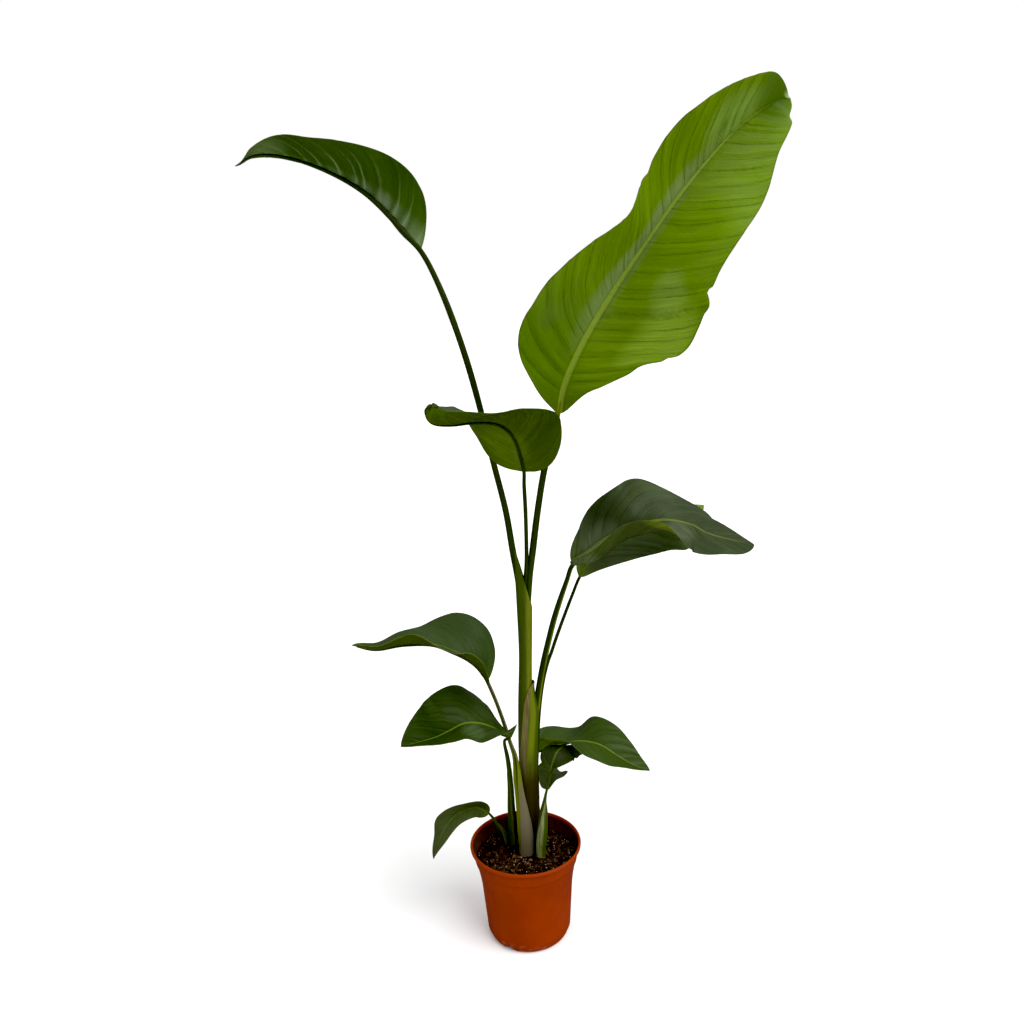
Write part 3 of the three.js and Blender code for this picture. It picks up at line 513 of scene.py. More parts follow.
def stem_tree():
    """Sweeps a ring along a line whose points hold the stem's radius and its flatness."""
    graph, given = new_group("Stem", {"Sides": "Int", "Material": "Material"})
    line = graph.add("GeometryNodeMeshToCurve", given["Geometry"])
    line = store(graph, line, "centre", graph.add("GeometryNodeInputPosition"), "FLOAT_VECTOR")
    line = graph.add("GeometryNodeSetCurveRadius", line, named={
        "Radius": attribute(graph, "girth")})
    ring = graph.add("GeometryNodeCurvePrimitiveCircle", given["Sides"], named={"Radius": 1.0})
    sweep = graph.add("GeometryNodeCurveToMesh", line, named={
        "Profile Curve": ring, "Fill Caps": True}).node
    if "Scale" in sweep.inputs:  # the curve's radius alone no longer widens the sweep there
        graph.tree.links.new(attribute(graph, "girth"), sweep.inputs["Scale"])
    centre = attribute(graph, "centre", "FLOAT_VECTOR")
    outward = graph.vector("SUBTRACT", graph.add("GeometryNodeInputPosition"), centre)
    shrink = graph.math("DIVIDE", 1.0, attribute(graph, "girth"))
    facing = graph.vector("SCALE", outward, Scale=shrink)
    tube = store(graph, sweep.outputs[0], "facing", facing, "FLOAT_VECTOR")
    pressed = graph.add("ShaderNodeCombineXYZ", 1.0, attribute(graph, "flat"), 1.0)
    place = graph.vector("ADD", centre, graph.scaled(outward, pressed))
    tube = graph.add("GeometryNodeSetPosition", tube, named={"Position": place})
    tube = graph.add("GeometryNodeSetShadeSmooth", tube)
    return end_group(graph, tube, given["Material"])


def scatter_tree(name, shape, lie):
    """Strews copies of a small body over the soil. `shape` adds the body, `lie` is its tilt."""
    graph, given = new_group(name, {
        "Density": "Float", "Least Size": "Vector", "Most Size": "Vector", "Roughen": "Float",
        "Roughen Scale": "Float", "Seed": "Int", "Material": "Material"})
    density = graph.times(given["Density"], attribute(graph, "strewn"))
    spread = graph.add("GeometryNodeDistributePointsOnFaces", given["Geometry"], named={
        "Density": density, "Seed": given["Seed"]}).node

    def dice(low, high, step, kind="FLOAT_VECTOR"):
        first, out = (0, 0) if kind == "FLOAT_VECTOR" else (2, 1)
        seed = graph.plus(given["Seed"], step)
        return graph.add("FunctionNodeRandomValue", data_type=kind, out=out,
                         named={first: low, first + 1: high, "Seed": seed})

    turn = graph.add("FunctionNodeEulerToRotation",
                     dice((-lie, -lie, 0), (lie, lie, 2 * math.pi), 1))
    turn = graph.add("FunctionNodeRotateRotation", spread.outputs["Rotation"], turn,
                     rotation_space="LOCAL")
    size = dice(given["Least Size"], given["Most Size"], 2)
    copies = graph.add("GeometryNodeInstanceOnPoints", spread.outputs["Points"], named={
        "Instance": shape(graph), "Rotation": turn, "Scale": size})
    copies = store(graph, copies, "tone", dice(0.0, 1.0, 3, "FLOAT"), domain="INSTANCE")
    solid = graph.add("GeometryNodeRealizeInstances", copies)
    wobble = graph.noise(graph.add("GeometryNodeInputPosition"), given["Roughen Scale"], 2.0,
                         out=1)
    centred = graph.vector("SUBTRACT", wobble, (0.5, 0.5, 0.5))
    offset = graph.vector("SCALE", centred, Scale=given["Roughen"])
    solid = graph.add("GeometryNodeSetPosition", solid, named={"Offset": offset})
    return end_group(graph, solid, given["Material"])


def add_object(name, data):
    """Puts a new object in the scene."""
    thing = bpy.data.objects.new(name, data)
    bpy.context.scene.collection.objects.link(thing)
    return thing


def grow(name, mesh, group, values, thicken=None):
    """Runs a Geometry Nodes group over a mesh and keeps the result as a plain mesh."""
    thing = add_object(name, mesh)
    modifier = thing.modifiers.new("Growth", "NODES")
    modifier.node_group = group
    for socket in group.interface.items_tree:
        if socket.in_out == "INPUT" and socket.name in values:
            modifier[socket.identifier] = values[socket.name]
    if thicken:
        thicken(thing)
    return settle(thing)


def settle(thing):
    """Turns an object with modifiers into a plain mesh with the same name."""
    view = bpy.context.evaluated_depsgraph_get()
    made = bpy.data.meshes.new_from_object(thing.evaluated_get(view), depsgraph=view,
                                           preserve_all_data_layers=True)
    if not made.polygons:
        raise RuntimeError(f"{thing.name} came out empty")
    thing.modifiers.clear()
    old, thing.data = thing.data, made
    bpy.data.meshes.remove(old)
    made.name = thing.name
    return thing


def declare(thing, nodes):
    """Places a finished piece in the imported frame."""
    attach(thing, "root")
    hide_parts(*nodes)
    return thing


def grid_mesh(name, points, marks, closed=False, flip=False):
    """A sheet from a grid of points in millimetres, with marks stored on its points."""
    rows, cols = points.shape[:2]
    mesh = bpy.data.meshes.new(name)
    faces = []
    for i in range(rows - 1):
        for k in range(cols if closed else cols - 1):
            n = (k + 1) % cols
            faces.append((i * cols + k, (i + 1) * cols + k, (i + 1) * cols + n, i * cols + n))
    if flip:
        faces = [face[::-1] for face in faces]
    mesh.from_pydata((points.reshape(-1, 3) * MM).tolist(), [], faces)
    put_marks(mesh, marks)
    mesh.polygons.foreach_set("use_smooth", [True] * len(faces))
    mesh.update()
    return mesh


def cap_ends(mesh, around):
    """Closes the first and the last ring of a grid mesh, and turns its faces outward."""
    shape = bmesh.new()
    shape.from_mesh(mesh)
    shape.verts.ensure_lookup_table()
    first, last = list(shape.verts[:around]), list(shape.verts[-around:])
    shape.faces.new(first[::-1])
    shape.faces.new(last)
    bmesh.ops.recalc_face_normals(shape, faces=shape.faces)
    shape.to_mesh(mesh)
    shape.free()


def put_marks(mesh, marks):
    """Stores numbers or triples, one to a point, as attributes of the mesh."""
    for key, values in marks.items():
        values = np.asarray(values, np.float32)
        vector = values.shape[-1] == 3 and values.size == 3 * len(mesh.vertices)
        layer = mesh.attributes.new(key, "FLOAT_VECTOR" if vector else "FLOAT", "POINT")
        layer.data.foreach_set("vector" if vector else "value", values.ravel())


# ---------- the blades ----------
def blade_frame(leaf, t):
    """Midrib points, directions, upper-face directions and left sides at t, and its length."""
    steps = 300
    line = spine(leaf["midrib"], steps)
    even = np.linspace(0, 1, steps + 1)
    forward = unit(np.gradient(line, axis=0))
    at = np.stack([np.interp(t, even, line[:, k]) for k in range(3)], -1)
    ahead = unit(np.stack([np.interp(t, even, forward[:, k]) for k in range(3)], -1))
    face = along(leaf["face"], t)
    face = unit(face - (face * ahead).sum(-1, keepdims=True) * ahead)
    length = np.linalg.norm(np.diff(line, axis=0), axis=1).sum()
    return at, ahead, face, np.cross(face, ahead), length


def blade_mesh(name, leaf, rows, cols):
    """The blade's middle surface: two halves hinged on the midrib, with its veins marked."""
    s = np.linspace(0, 1, rows + 1)
    t = 0.45 * s + 0.55 * (0.5 - 0.5 * np.cos(np.pi * s))
    at, ahead, face, left, length = blade_frame(leaf, t)
    a, b = leaf["shape"]
    peak = a / (a + b)
    profile = t ** a * (1 - t) ** b / (peak ** a * (1 - peak) ** b)
    rib_width = 1.25 * leaf["radius"][0] * (1 - t) ** 0.85 + 0.5
    points, veins, ribs = [], [], []
    for k in range(-cols, cols + 1):
        side = 1 if k > 0 else -1
        half = leaf["left" if k > 0 else "right"]
        v = abs(k) / cols
        width = np.maximum(0.5, leaf["half"][1 if k > 0 else 0] * profile * along(half["wide"], t))
        for place, span, depth in half.get("nicks", []):
            width = width * (1 - depth * np.exp(-((t - place) / span) ** 2))
        fold = np.radians(along(half["fold"], t))
        bend = np.radians(along(half.get("curl", [0]), t))
        bend = np.where(np.abs(bend) < 1e-3, 1e-3, bend)
        turn = fold + bend * v
        out = width / bend * (np.sin(turn) - np.sin(fold))
        up = width / bend * (np.cos(fold) - np.cos(turn))
        sweep = along(leaf.get("sweep", [0.1]), t) * width * v * v
        points.append(at + left * (side * out)[:, None] + face * up[:, None]
                      + ahead * sweep[:, None])
        lean = leaf.get("lean", [0.8, 0.8])[1 if k > 0 else 0]  # more towards the tip
        slope = leaf["slant"][1 if k > 0 else 0] * (0.8 + 0.2 * smooth(t, 0, 0.4)
                                                    + lean * smooth(t, 0.55, 1))
        arch = 0.3 - 0.55 * (1 - smooth(t, 0, 0.4))
        start = t - slope * (0.8 * v + arch * v * v) * width / length
        start = 0.03 * np.logaddexp(0, start / 0.03)
        phase = start * leaf["pleats"] + (0.4 if side > 0 else 0)
        phase = phase + 0.22 * np.sin(2.1 * phase + 1) + 0.13 * np.sin(5.3 * phase + 2 * side)
        veins.append(np.stack([phase, np.full_like(t, side * v), t], -1))
        ribs.append(v * width / rib_width)
    points, veins, ribs = np.stack(points, 1), np.stack(veins, 1), np.stack(ribs, 1)
    return grid_mesh(name, points, {"vein": veins.reshape(-1, 3), "rib": ribs.reshape(-1)})


def stem_line(leaf, steps):
    """The leaf's stem as a line with radii: its keel under the blade, then its stalk."""
    radius = leaf["radius"][0]
    t = np.linspace(0.97, 0.06, KEEL_STEPS)
    at, _, face, _, _ = blade_frame(leaf, t)
    keel_radius = radius * (0.92 * (1 - t) ** 0.75 + 0.1)
    keel = at - face * (keel_radius * 1.2 + 0.1)[:, None]
    tucks, _, tuck_face, _, _ = blade_frame(leaf, np.array([0.075, 0.0]))
    start = [tucks[0] - tuck_face[0] * 1.2 * radius, tucks[1] - tuck_face[1] * 0.8 * radius]
    line = spine([*start, *leaf["stalk"]], steps)
    t = np.linspace(0, 1, steps + 1)
    girth = along([radius * 0.92, *leaf["radius"]], t)
    flat = along([1, *leaf["flat"]], t) if "flat" in leaf else np.ones(steps + 1)
    points = np.vstack([keel, line[2:]])
    girths = np.r_[keel_radius, girth[2:]]
    flats = np.r_[np.ones(len(keel)), flat[2:]]
    for _ in range(3):
        points[1:-1] = (points[:-2] + 2 * points[1:-1] + points[2:]) / 4
        girths[1:-1] = (girths[:-2] + 2 * girths[1:-1] + girths[2:]) / 4
    return points, girths, flats


def line_mesh(name, points, girths, flats):
    """A line of edges that the stem group sweeps into a tube."""
    mesh = bpy.data.meshes.new(name)
    edges = [(i, i + 1) for i in range(len(points) - 1)]
    mesh.from_pydata((np.asarray(points) * MM).tolist(), edges, [])
    put_marks(mesh, {"girth": np.asarray(girths) * MM, "flat": flats})
    return mesh


# ---------- materials of the plant ----------
FINE_SHADE = (0.5, 0.56, 0.5)
# painted shade for the creases between the pleats
CREASE_PAINTED_SHADE = (0.4, 0.46, 0.4)


def tinted(colour, shade):
    return tuple(min(1.0, c * s) for c, s in zip(colour, shade))


def blade_marks(paint, look):
    """Where the point lies on the blade, and its creases, the pleat bands that carry a painted sheen,
    and its fine veins there.
    """
    phase, side, run = paint.split(paint.mark("vein", vector=True))[:3]
    across = paint.math("ABSOLUTE", side)
    drift = paint.plus(phase, paint.remap(paint.noise(paint.place, 22.0, 2.0),
                                          0.2, 0.8, -0.07, 0.07))
    ping = paint.math("PINGPONG", drift, 0.5)
    blur = paint.noise(paint.place, 40.0)
    crease = paint.times(paint.remap(ping, 0.0, look["vein"], 1.0, 0.0),
                         paint.remap(blur, 0.35, 0.6, 0.35, 1.0))
    grain = paint.add("ShaderNodeCombineXYZ", paint.times(drift, 11.0), paint.times(side, 1.3), 0.0)
    fine = paint.times(paint.remap(paint.noise(grain, 1.0, 2.0, 0.6), 0.35, 0.65),
                       paint.remap(across, 0.03, 0.2, 0.4, 1.0))
    # lighter bands along the pleats: a painted sheen
    pleat_sheen = paint.remap(paint.add("ShaderNodeTexNoise", noise_dimensions="1D", named={
        "W": drift, "Scale": 1.7, "Detail": 2.0, "Roughness": 0.6}), 0.3, 0.7)
    plain = paint.remap(run, *look["smooth_from"], 1.0, 0.1)
    crease, fine, pleat_sheen = (paint.times(m, plain) for m in (crease, fine, pleat_sheen))
    return side, across, run, ping, crease, fine, pleat_sheen


def tone_and_sheen_patches(paint, areas, side, run):
    """Soft lighter or darker areas, of the blade's own tone and of painted sheen and painted
    highlights: place along and across, their spans, colour, strength.
    """
    for t, v, long, wide, shade, strength in areas:
        far = paint.plus(*(
            paint.math("POWER", paint.math("DIVIDE", paint.minus(value, centre), span), 2.0)
            for value, centre, span in ((run, t, long), (side, v, wide))))
        paint.coat(paint.remap(far, 0.0, 1.6, strength, 0.0), shade)


def upper_paint(name, look, leaves):
    """The waxy upper face of a blade, with painted shade in its creases and beside the midrib, painted
    sheen in bands and soft areas, and a pale midrib.
    """
    tone = tinted(getattr(leaves, look["tone"]), look["shade"])
    lines = look["lines"]
    paint = Paint(name + "_upper", specular=look["gloss"])
    side, across, run, _, crease, fine, pleat_sheen = blade_marks(paint, look)
    broad = paint.noise(paint.place, 11.0, 3.0)
    rib = paint.mark("rib")
    paint.start(paint.remap(broad, 0.3, 0.7), tinted(tone, (0.93, 0.93, 0.9)),
                tinted(tone, (1.12, 1.1, 1.15)))
    # painted sheen: lighter bands along the pleats
    paint.coat(pleat_sheen, tinted(tone, (1.45, 1.38, 1.4)), 0.6 * lines)
    # soft areas: the blade's own tone, painted sheen and painted highlights
    tone_and_sheen_patches(paint, look["upper"], side, run)
    paint.coat(fine, tinted(tone, FINE_SHADE), 0.4 * lines)
    # painted shade: dark creases between the pleats
    paint.coat(crease, tinted(tone, CREASE_PAINTED_SHADE), 0.6 * lines)
    # waxy bloom, mixed with a painted grey sheen of reflected sky
    paint.coat(paint.remap(broad, 0.45, 0.75), leaves.bloom, look["bloom"])
    paint.coat(paint.remap(run, 0.0, 0.12, look["flush"], 0.0),
               tinted(leaves.flush, look["shade"]))
    paint.coat(paint.times(paint.remap(rib, 0.6, 1.2, look["rib"], 0.0),
                           paint.remap(run, 0.9, 0.97, 1.0, 0.0)), leaves.midrib)
    # painted shade along the groove each side of the midrib
    groove = paint.times(paint.remap(rib, 0.9, 1.25), paint.remap(rib, 1.25, 2.2, 1.0, 0.0))
    paint.coat(groove, tinted(tone, FINE_SHADE), 0.35)
    paint.coat(paint.remap(across, 0.97, 0.995, 0.0, 0.5), tinted(tone, (0.6, 0.62, 0.5)))
    rough = paint.remap(paint.noise(paint.place, 26.0, 4.0), 0.3, 0.7,
                        look["rough"] - 0.06, look["rough"] + 0.1)
    height = paint.plus(paint.times(fine, 0.6),
                        paint.times(paint.noise(paint.place, 420.0, 2.0), 0.35))
    return paint.finish(rough, paint.minus(height, crease), 0.0005, 0.8)


def under_paint(name, look, leaves):
    """The dull underside of a blade, with pale veins, lighter pleat bands of painted sheen, and a pale
    zone of painted sheen along the midrib.
    """
    tone = tinted(getattr(leaves, look["tone"] + "_under"), look["under"])
    lines = look["lines"]
    paint = Paint(name + "_under", specular=0.08)
    side, across, run, ping, crease, fine, pleat_sheen = blade_marks(paint, look)
    rib = paint.mark("rib")
    paint.start(paint.remap(paint.noise(paint.place, 9.0, 3.0), 0.3, 0.7),
                tinted(tone, (0.9, 0.9, 0.9)), tinted(tone, (1.15, 1.12, 1.1)))
    # painted sheen: lighter bands along the pleats
    paint.coat(pleat_sheen, tinted(tone, (1.6, 1.5, 1.5)), 0.7 * lines)
    # soft areas: the blade's own tone, painted sheen and painted highlights
    tone_and_sheen_patches(paint, look["lower"], side, run)
    paint.coat(fine, tinted(tone, FINE_SHADE), 0.5 * lines)
    pale = paint.times(crease, paint.remap(across, 0.2, 0.95, 0.8, 0.1))
    paint.coat(pale, leaves.glow, look["glow"])
    # painted sheen: a pale zone along the midrib, between the veins
    midrib_sheen = paint.remap(rib, 0.8, 6.0, 0.7, 0.0)
    midrib_sheen = paint.times(midrib_sheen, paint.remap(ping, 0.0, 0.5, 1.0, 0.2))
    midrib_sheen = paint.times(midrib_sheen, paint.remap(run, 0.1, 0.75, 1.0, 0.2))
    paint.coat(midrib_sheen, leaves.midrib_sheen, look["glow"])
    paint.coat(paint.remap(run, 0.0, 0.1, look["flush"] * 0.7, 0.0),
               tinted(leaves.flush, look["under"]))
    rough = paint.remap(paint.noise(paint.place, 30.0, 4.0), 0.3, 0.7, 0.5, 0.65)
    return paint.finish(rough, paint.plus(paint.times(fine, 0.6), crease), 0.0005, 0.7)


def margin_paint(name, look, leaves):
    """The thin cut edge of a blade."""
    paint = Paint(name + "_margin", specular=0.1)
    streak = paint.noise(paint.place, 60.0, 3.0)
    edge = tinted(leaves.margin, look["edge"])
    paint.start(paint.remap(streak, 0.3, 0.7), tinted(edge, (0.6, 0.65, 0.6)), edge)
    return paint.finish(paint.remap(streak, 0.3, 0.7, 0.45, 0.6), streak)


def stem_paint(name, stems, look):
    """Green down a stem, with fine streaks along it and its own tint at the sides."""
    paint = Paint(name, specular=0.12)
    facing = paint.split(paint.mark("facing", vector=True))[0]
    z = paint.split(paint.place)[2]
    streak = paint.noise(paint.scaled(paint.place, (1, 1, 0.04)), 900.0, 3.0, 0.6)
    patch = paint.noise(paint.scaled(paint.place, (1, 1, 0.3)), 60.0, 3.0)
    top, foot = look.get("turn", (420, 260))
    paint.start(paint.remap(z, foot * MM, top * MM), look.get("low", stems.sheath_green),
                tinted(stems.petiole, look.get("high", (1, 1, 1))))
    if "right" in look:
        place, tone = look["right"]
        paint.coat(paint.remap(facing, place - 0.35, place + 0.25), tone)
    if "left" in look:
        place, tone = look["left"]
        paint.coat(paint.remap(facing, -place - 0.25, -place + 0.35, 1.0, 0.0), tone)
    paint.coat(paint.remap(streak, 0.35, 0.75, 0.0, 0.55),
               paint.mix(0.5, paint.colour, stems.streak))
    paint.coat(paint.remap(patch, 0.45, 0.8, 0.0, 0.4), stems.shadow_green)
    paint.coat(paint.remap(z, 0.148, 0.2, 0.7, 0.0), stems.earth)
    if "crown" in look:
        low, high, tone = look["crown"]
        paint.coat(paint.remap(z, low * MM, high * MM, 0.0, 0.9), tone)
    return paint.finish(paint.remap(patch, 0.3, 0.7, 0.38, 0.6), streak, 0.0004, 0.5)


def sheath_paint(name, stems, look):
    """Green wrap whose free margins turn papery, streaked along its length."""
    paint = Paint(name, specular=0.2)
    edge = paint.mark("edge")
    rise = paint.mark("rise")
    streak = paint.noise(paint.scaled(paint.place, (1, 1, 0.03)), 700.0, 4.0, 0.65)
    patch = paint.noise(paint.scaled(paint.place, (1, 1, 0.25)), 45.0, 3.0)
    side = paint.math("ABSOLUTE", edge) if look.get("both") else edge
    wander = paint.times(paint.minus(patch, 0.5), 0.5)
    papery = paint.remap(paint.plus(side, wander), *look["panel"])
    if "paper_below" in look:
        low = paint.plus(rise, paint.times(wander, 0.5))
        papery = paint.times(papery, paint.remap(low, *look["paper_below"], 1.0, 0.0))
    paint.start(papery, look["green"], look["paper"])
    blush = paint.times(papery, paint.remap(streak, 0.4, 0.65))
    paint.coat(blush, look.get("blush", stems.blush), 0.6)
    paint.coat(paint.remap(streak, 0.35, 0.7, 0.0, 0.35), look.get("line", stems.shadow_green))
    if "stripe" in look:
        place, wide = look["stripe"]
        off = paint.math("ABSOLUTE", paint.minus(edge, place))
        paint.coat(paint.remap(off, 0.5 * wide, 1.5 * wide, 0.85, 0.0), stems.lime)
    low = paint.plus(rise, paint.times(wander, 0.4))
    start, stop, strength = look["brown"]
    paint.coat(paint.remap(low, start, stop, strength, 0.0), stems.earth)
    paint.coat(paint.remap(side, look.get("rim_from", 0.93), 0.99, 0.0, 0.75),
               look.get("rim", stems.cream))
    return paint.finish(paint.mix(papery, (0.42,) * 3, (0.62,) * 3), streak, 0.0006, 0.6)


# ---------- settings ----------
def colour_prop(label, text, value):
    return bpy.props.FloatVectorProperty(name=label, description=text, subtype="COLOR", size=3,
                                         min=0, max=1, default=value)


def length_prop(label, text, value, most=1.0):
    return bpy.props.FloatProperty(name=label, description=text, unit="LENGTH", min=0, max=most,
                                   default=value)


def angle_prop(label, text, degrees):
    return bpy.props.FloatProperty(name=label, description=text, unit="ROTATION",
                                   default=math.radians(degrees))


def factor_prop(label, text, value, least=0.0, most=100.0):
    return bpy.props.FloatProperty(name=label, description=text, min=least, max=most,
                                   default=value)


def count_prop(label, text, value, least=0, most=6000):
    return bpy.props.IntProperty(name=label, description=text, min=least, max=most,
                                 default=value)


class StageSettings(bpy.types.PropertyGroup):
    camera_place: bpy.props.FloatVectorProperty(
        name="Camera place", description="Where the camera stands", subtype="TRANSLATION",
        size=3, default=(0.004, -1.365, 1.090))
    camera_pitch: angle_prop("Camera pitch", "How far the camera looks down", 13.9)
    camera_roll: angle_prop("Camera roll", "How far the camera is turned on its own axis", -2.75)
    focal_length: factor_prop("Focal length", "Focal length on a 36 mm wide sensor", 31.64,
                              10, 200)
    floor_colour: colour_prop("Floor colour", "Colour of the plain floor", (0.93, 0.93, 0.93))
    floor_radius: length_prop("Floor radius", "Radius of the plain floor", 30.0, 50.0)
    black: factor_prop("Black level", "Light that the picture shows as black", 0.010, 0, 0.1)
    sky: factor_prop("Sky", "Brightness of the soft light from above", 0.95)
    horizon: factor_prop("Horizon", "Brightness of the soft light from the sides", 0.12)
    key_power: factor_prop("Key light", "Strength of the main soft light", 2.6)
    fill_power: factor_prop("Fill light", "Strength of the weaker soft light", 0.3)


class PotSettings(bpy.types.PropertyGroup):
    height: length_prop("Height", "Height of the pot", POT_BOX[1].z)
    rim_radius: length_prop("Rim radius", "Outer radius at the rim", POT_BOX[1].x)
    foot_radius: length_prop("Foot radius", "Outer radius at the foot", 0.068)
    wall: length_prop("Wall", "Thickness of the wall", 0.0024, 0.02)
    lip: length_prop("Lip", "Height of the rolled lip", 0.007, 0.05)
    plastic: colour_prop("Plastic", "Main colour of the pot", srgb(132, 45, 2))
    # lighter orange: a painted highlight on the lip band, and the colour of the scuffs
    lip_highlight_and_scuff: colour_prop("Lip", "Colour of the worn lip", srgb(138, 50, 12))
    # the inside: stains, darkened further with painted shade
    inner: colour_prop("Inside", "Colour of the stained inside", srgb(70, 46, 36))
    lime: colour_prop("Lime", "Colour of the lime marks by the drain slots", srgb(170, 130, 106))


class SoilSettings(bpy.types.PropertyGroup):
    top: length_prop("Level", "Height of the soil's surface", 0.148)
    chips: count_prop("Bark chips", "How many bark chips lie on it", 380)
    crumbs: count_prop("Crumbs", "How many dark crumbs lie on it", 2600)
    fibres: count_prop("Fibres", "How many fibres lie on it", 520)
    perlite: count_prop("Perlite", "How many white grains lie on it", 130)
    seed: count_prop("Seed", "Seed of the random places", 7)
    peat: colour_prop("Peat", "Colour of the wet soil", srgb(22, 15, 12))
    bark: colour_prop("Bark", "Colour of the bark chips", srgb(104, 76, 46))
    fibre: colour_prop("Fibre", "Colour of the fibres", srgb(84, 48, 26))
    grain: colour_prop("Grain", "Colour of the perlite", srgb(205, 200, 190))


class LeafSettings(bpy.types.PropertyGroup):
    thickness: length_prop("Thickness", "Thickness of a blade", 0.0007, 0.005)
    pleat: factor_prop("Pleats", "Factor on the pleats' depth", 1, 0, 4)
    rows: count_prop("Rows", "Steps along a blade", 150, 20, 400)
    columns: count_prop("Columns", "Steps across half a blade", 26, 6, 80)
    seed: count_prop("Seed", "Seed of the blades' waves", 3)
    fresh: colour_prop("Fresh green", "Upper face of the youngest leaf", srgb(89, 117, 7))
    fresh_under: colour_prop("Fresh underside", "Underside of the youngest leaf",
                             srgb(84, 106, 24))
    deep: colour_prop("Deep green", "Upper face of the dark leaves", srgb(42, 60, 12))
    deep_under: colour_prop("Deep underside", "Underside of the dark leaves", srgb(44, 67, 6))
    olive: colour_prop("Olive green", "Upper face of the middle leaf", srgb(50, 68, 6))
    olive_under: colour_prop("Olive underside", "Underside of the middle leaf", srgb(57, 75, 4))
    # this grey green carries a painted sheen of reflected sky over the leaves' own green
    grey: colour_prop("Grey green", "Upper face of the waxy leaves", srgb(46, 58, 28))
    grey_under: colour_prop("Grey underside", "Underside of the waxy leaves", srgb(58, 70, 14))
    midrib: colour_prop("Midrib", "Midrib seen from above", srgb(118, 138, 44))
    margin: colour_prop("Margin", "The blades' thin margin", srgb(88, 100, 44))
    flush: colour_prop("Flush", "Colour by the stalk", srgb(72, 90, 6))
    # waxy bloom, with a painted grey sheen of reflected sky in it
    bloom: colour_prop("Bloom", "Waxy bloom on the upper face", srgb(86, 98, 70))
    glow: colour_prop("Underside veins", "Pale veins of the underside", srgb(98, 120, 66))
    # a painted sheen along the midrib of the underside
    midrib_sheen: colour_prop("Underside halo", "Pale zone along the midrib below", srgb(120, 136, 104))


class StemSettings(bpy.types.PropertyGroup):
    sides: count_prop("Sides", "Faces round a stem", 28, 8, 64)
    steps: count_prop("Steps", "Steps along a stem", 130, 20, 400)
    petiole: colour_prop("Petiole", "Green of the thin stalks", srgb(33, 45, 4))
    sheath_green: colour_prop("Sheath green", "Green of the wide stems", srgb(50, 66, 5))
    shadow_green: colour_prop("Dark green", "Dark patches of the stems", srgb(24, 34, 5))
    lime: colour_prop("Yellow green", "Bright strip of a sheath", srgb(102, 111, 8))
    cream: colour_prop("Cream", "Papery margin of a sheath", srgb(112, 106, 58))
    blush: colour_prop("Blush", "Pinkish streaks of a sheath", srgb(74, 50, 32))
    streak: colour_prop("Streak", "Pale streaks along a stem", srgb(66, 80, 20))
    paper: colour_prop("Paper", "Dry grey part of an old sheath", srgb(100, 92, 70))
    earth: colour_prop("Earth", "Brown of the stems' feet", srgb(40, 30, 9))


# ---------- operators ----------
class PLANT_OT_stage(bpy.types.Operator):
    """Makes the camera, the plain floor and the soft studio light"""
    bl_idname = "plant.stage"
    bl_label = "Stage"

    def execute(self, context):
        stage = context.scene.plant_stage
        self.camera(context, stage)
        self.floor(stage)
        self.sky(context, stage)
        self.lamp("Key", (0.7, -0.55, 1.0), 50, stage.key_power)
        self.lamp("Fill", (-0.8, -0.5, 0.6), 70, stage.fill_power)
        return {"FINISHED"}

    def camera(self, context, stage):
        lens = bpy.data.cameras.new("Camera")
        lens.lens = stage.focal_length
        lens.sensor_width = 36
        lens.clip_start, lens.clip_end = 0.05, 60
        camera = add_object("Camera", lens)
        pitch, roll = stage.camera_pitch, stage.camera_roll
        ahead = Vector((0, math.cos(pitch), -math.sin(pitch)))
        above = Vector((0, math.sin(pitch), math.cos(pitch)))
        level = Vector((1, 0, 0))
        right = level * math.cos(roll) + above * math.sin(roll)
        up = above * math.cos(roll) - level * math.sin(roll)
        turn = Matrix((right, up, -ahead)).transposed().to_4x4()
        camera.matrix_world = Matrix.Translation(stage.camera_place) @ turn
        context.scene.camera = camera
        view = context.scene.view_settings
        view.view_transform = "Standard"
        view.use_curve_mapping = True
        view.curve_mapping.black_level = (stage.black,) * 3
        view.curve_mapping.update()

    def floor(self, stage):
        corners, just_below = 96, -0.0002
        mesh = bpy.data.meshes.new("floor")
        ring = [(stage.floor_radius * math.cos(2 * math.pi * k / corners),
                 stage.floor_radius * math.sin(2 * math.pi * k / corners), just_below)
                for k in range(corners)]
        mesh.from_pydata(ring, [], [list(range(corners))])
        paint = Paint("floor_paint", roughness=0.9, specular=0.0)
        paint.start(paint.remap(paint.noise(paint.place, 3.0), 0.3, 0.7),
                    tinted(stage.floor_colour, (0.99,) * 3), stage.floor_colour)
        mesh.materials.append(paint.finish())
        floor = add_object("floor", mesh)
        floor.visible_glossy = False

    def sky(self, context, stage):
        """Soft light that brightens upwards; the camera itself sees plain white."""
        world = bpy.data.worlds.new("Studio")
        context.scene.world = world
        world.use_nodes = True
        world.node_tree.nodes.clear()
        graph = Graph(world.node_tree)
        height = graph.split(graph.add("ShaderNodeTexCoord"))[2]
        soft = graph.remap(height, -0.05, 0.85, stage.horizon, stage.sky)
        light = graph.add("ShaderNodeBackground", (1, 1, 1, 1), soft)
        plain = graph.add("ShaderNodeBackground", (1, 1, 1, 1), 1.0)
        seen = graph.add("ShaderNodeLightPath")
        mixed = graph.add("ShaderNodeMixShader", seen, light, plain)
        sink = world.node_tree.nodes.new("ShaderNodeOutputWorld")
        world.node_tree.links.new(mixed, sink.inputs[0])

    def lamp(self, name, source, spread, power):
        """A wide soft light from one direction, even over the whole stage."""
        light = bpy.data.lights.new(name, "SUN")
        light.angle = math.radians(spread)
        light.energy = power
        lamp = add_object(name, light)
        lamp.matrix_world = (-Vector(source)).to_track_quat("-Z", "Y").to_matrix().to_4x4()


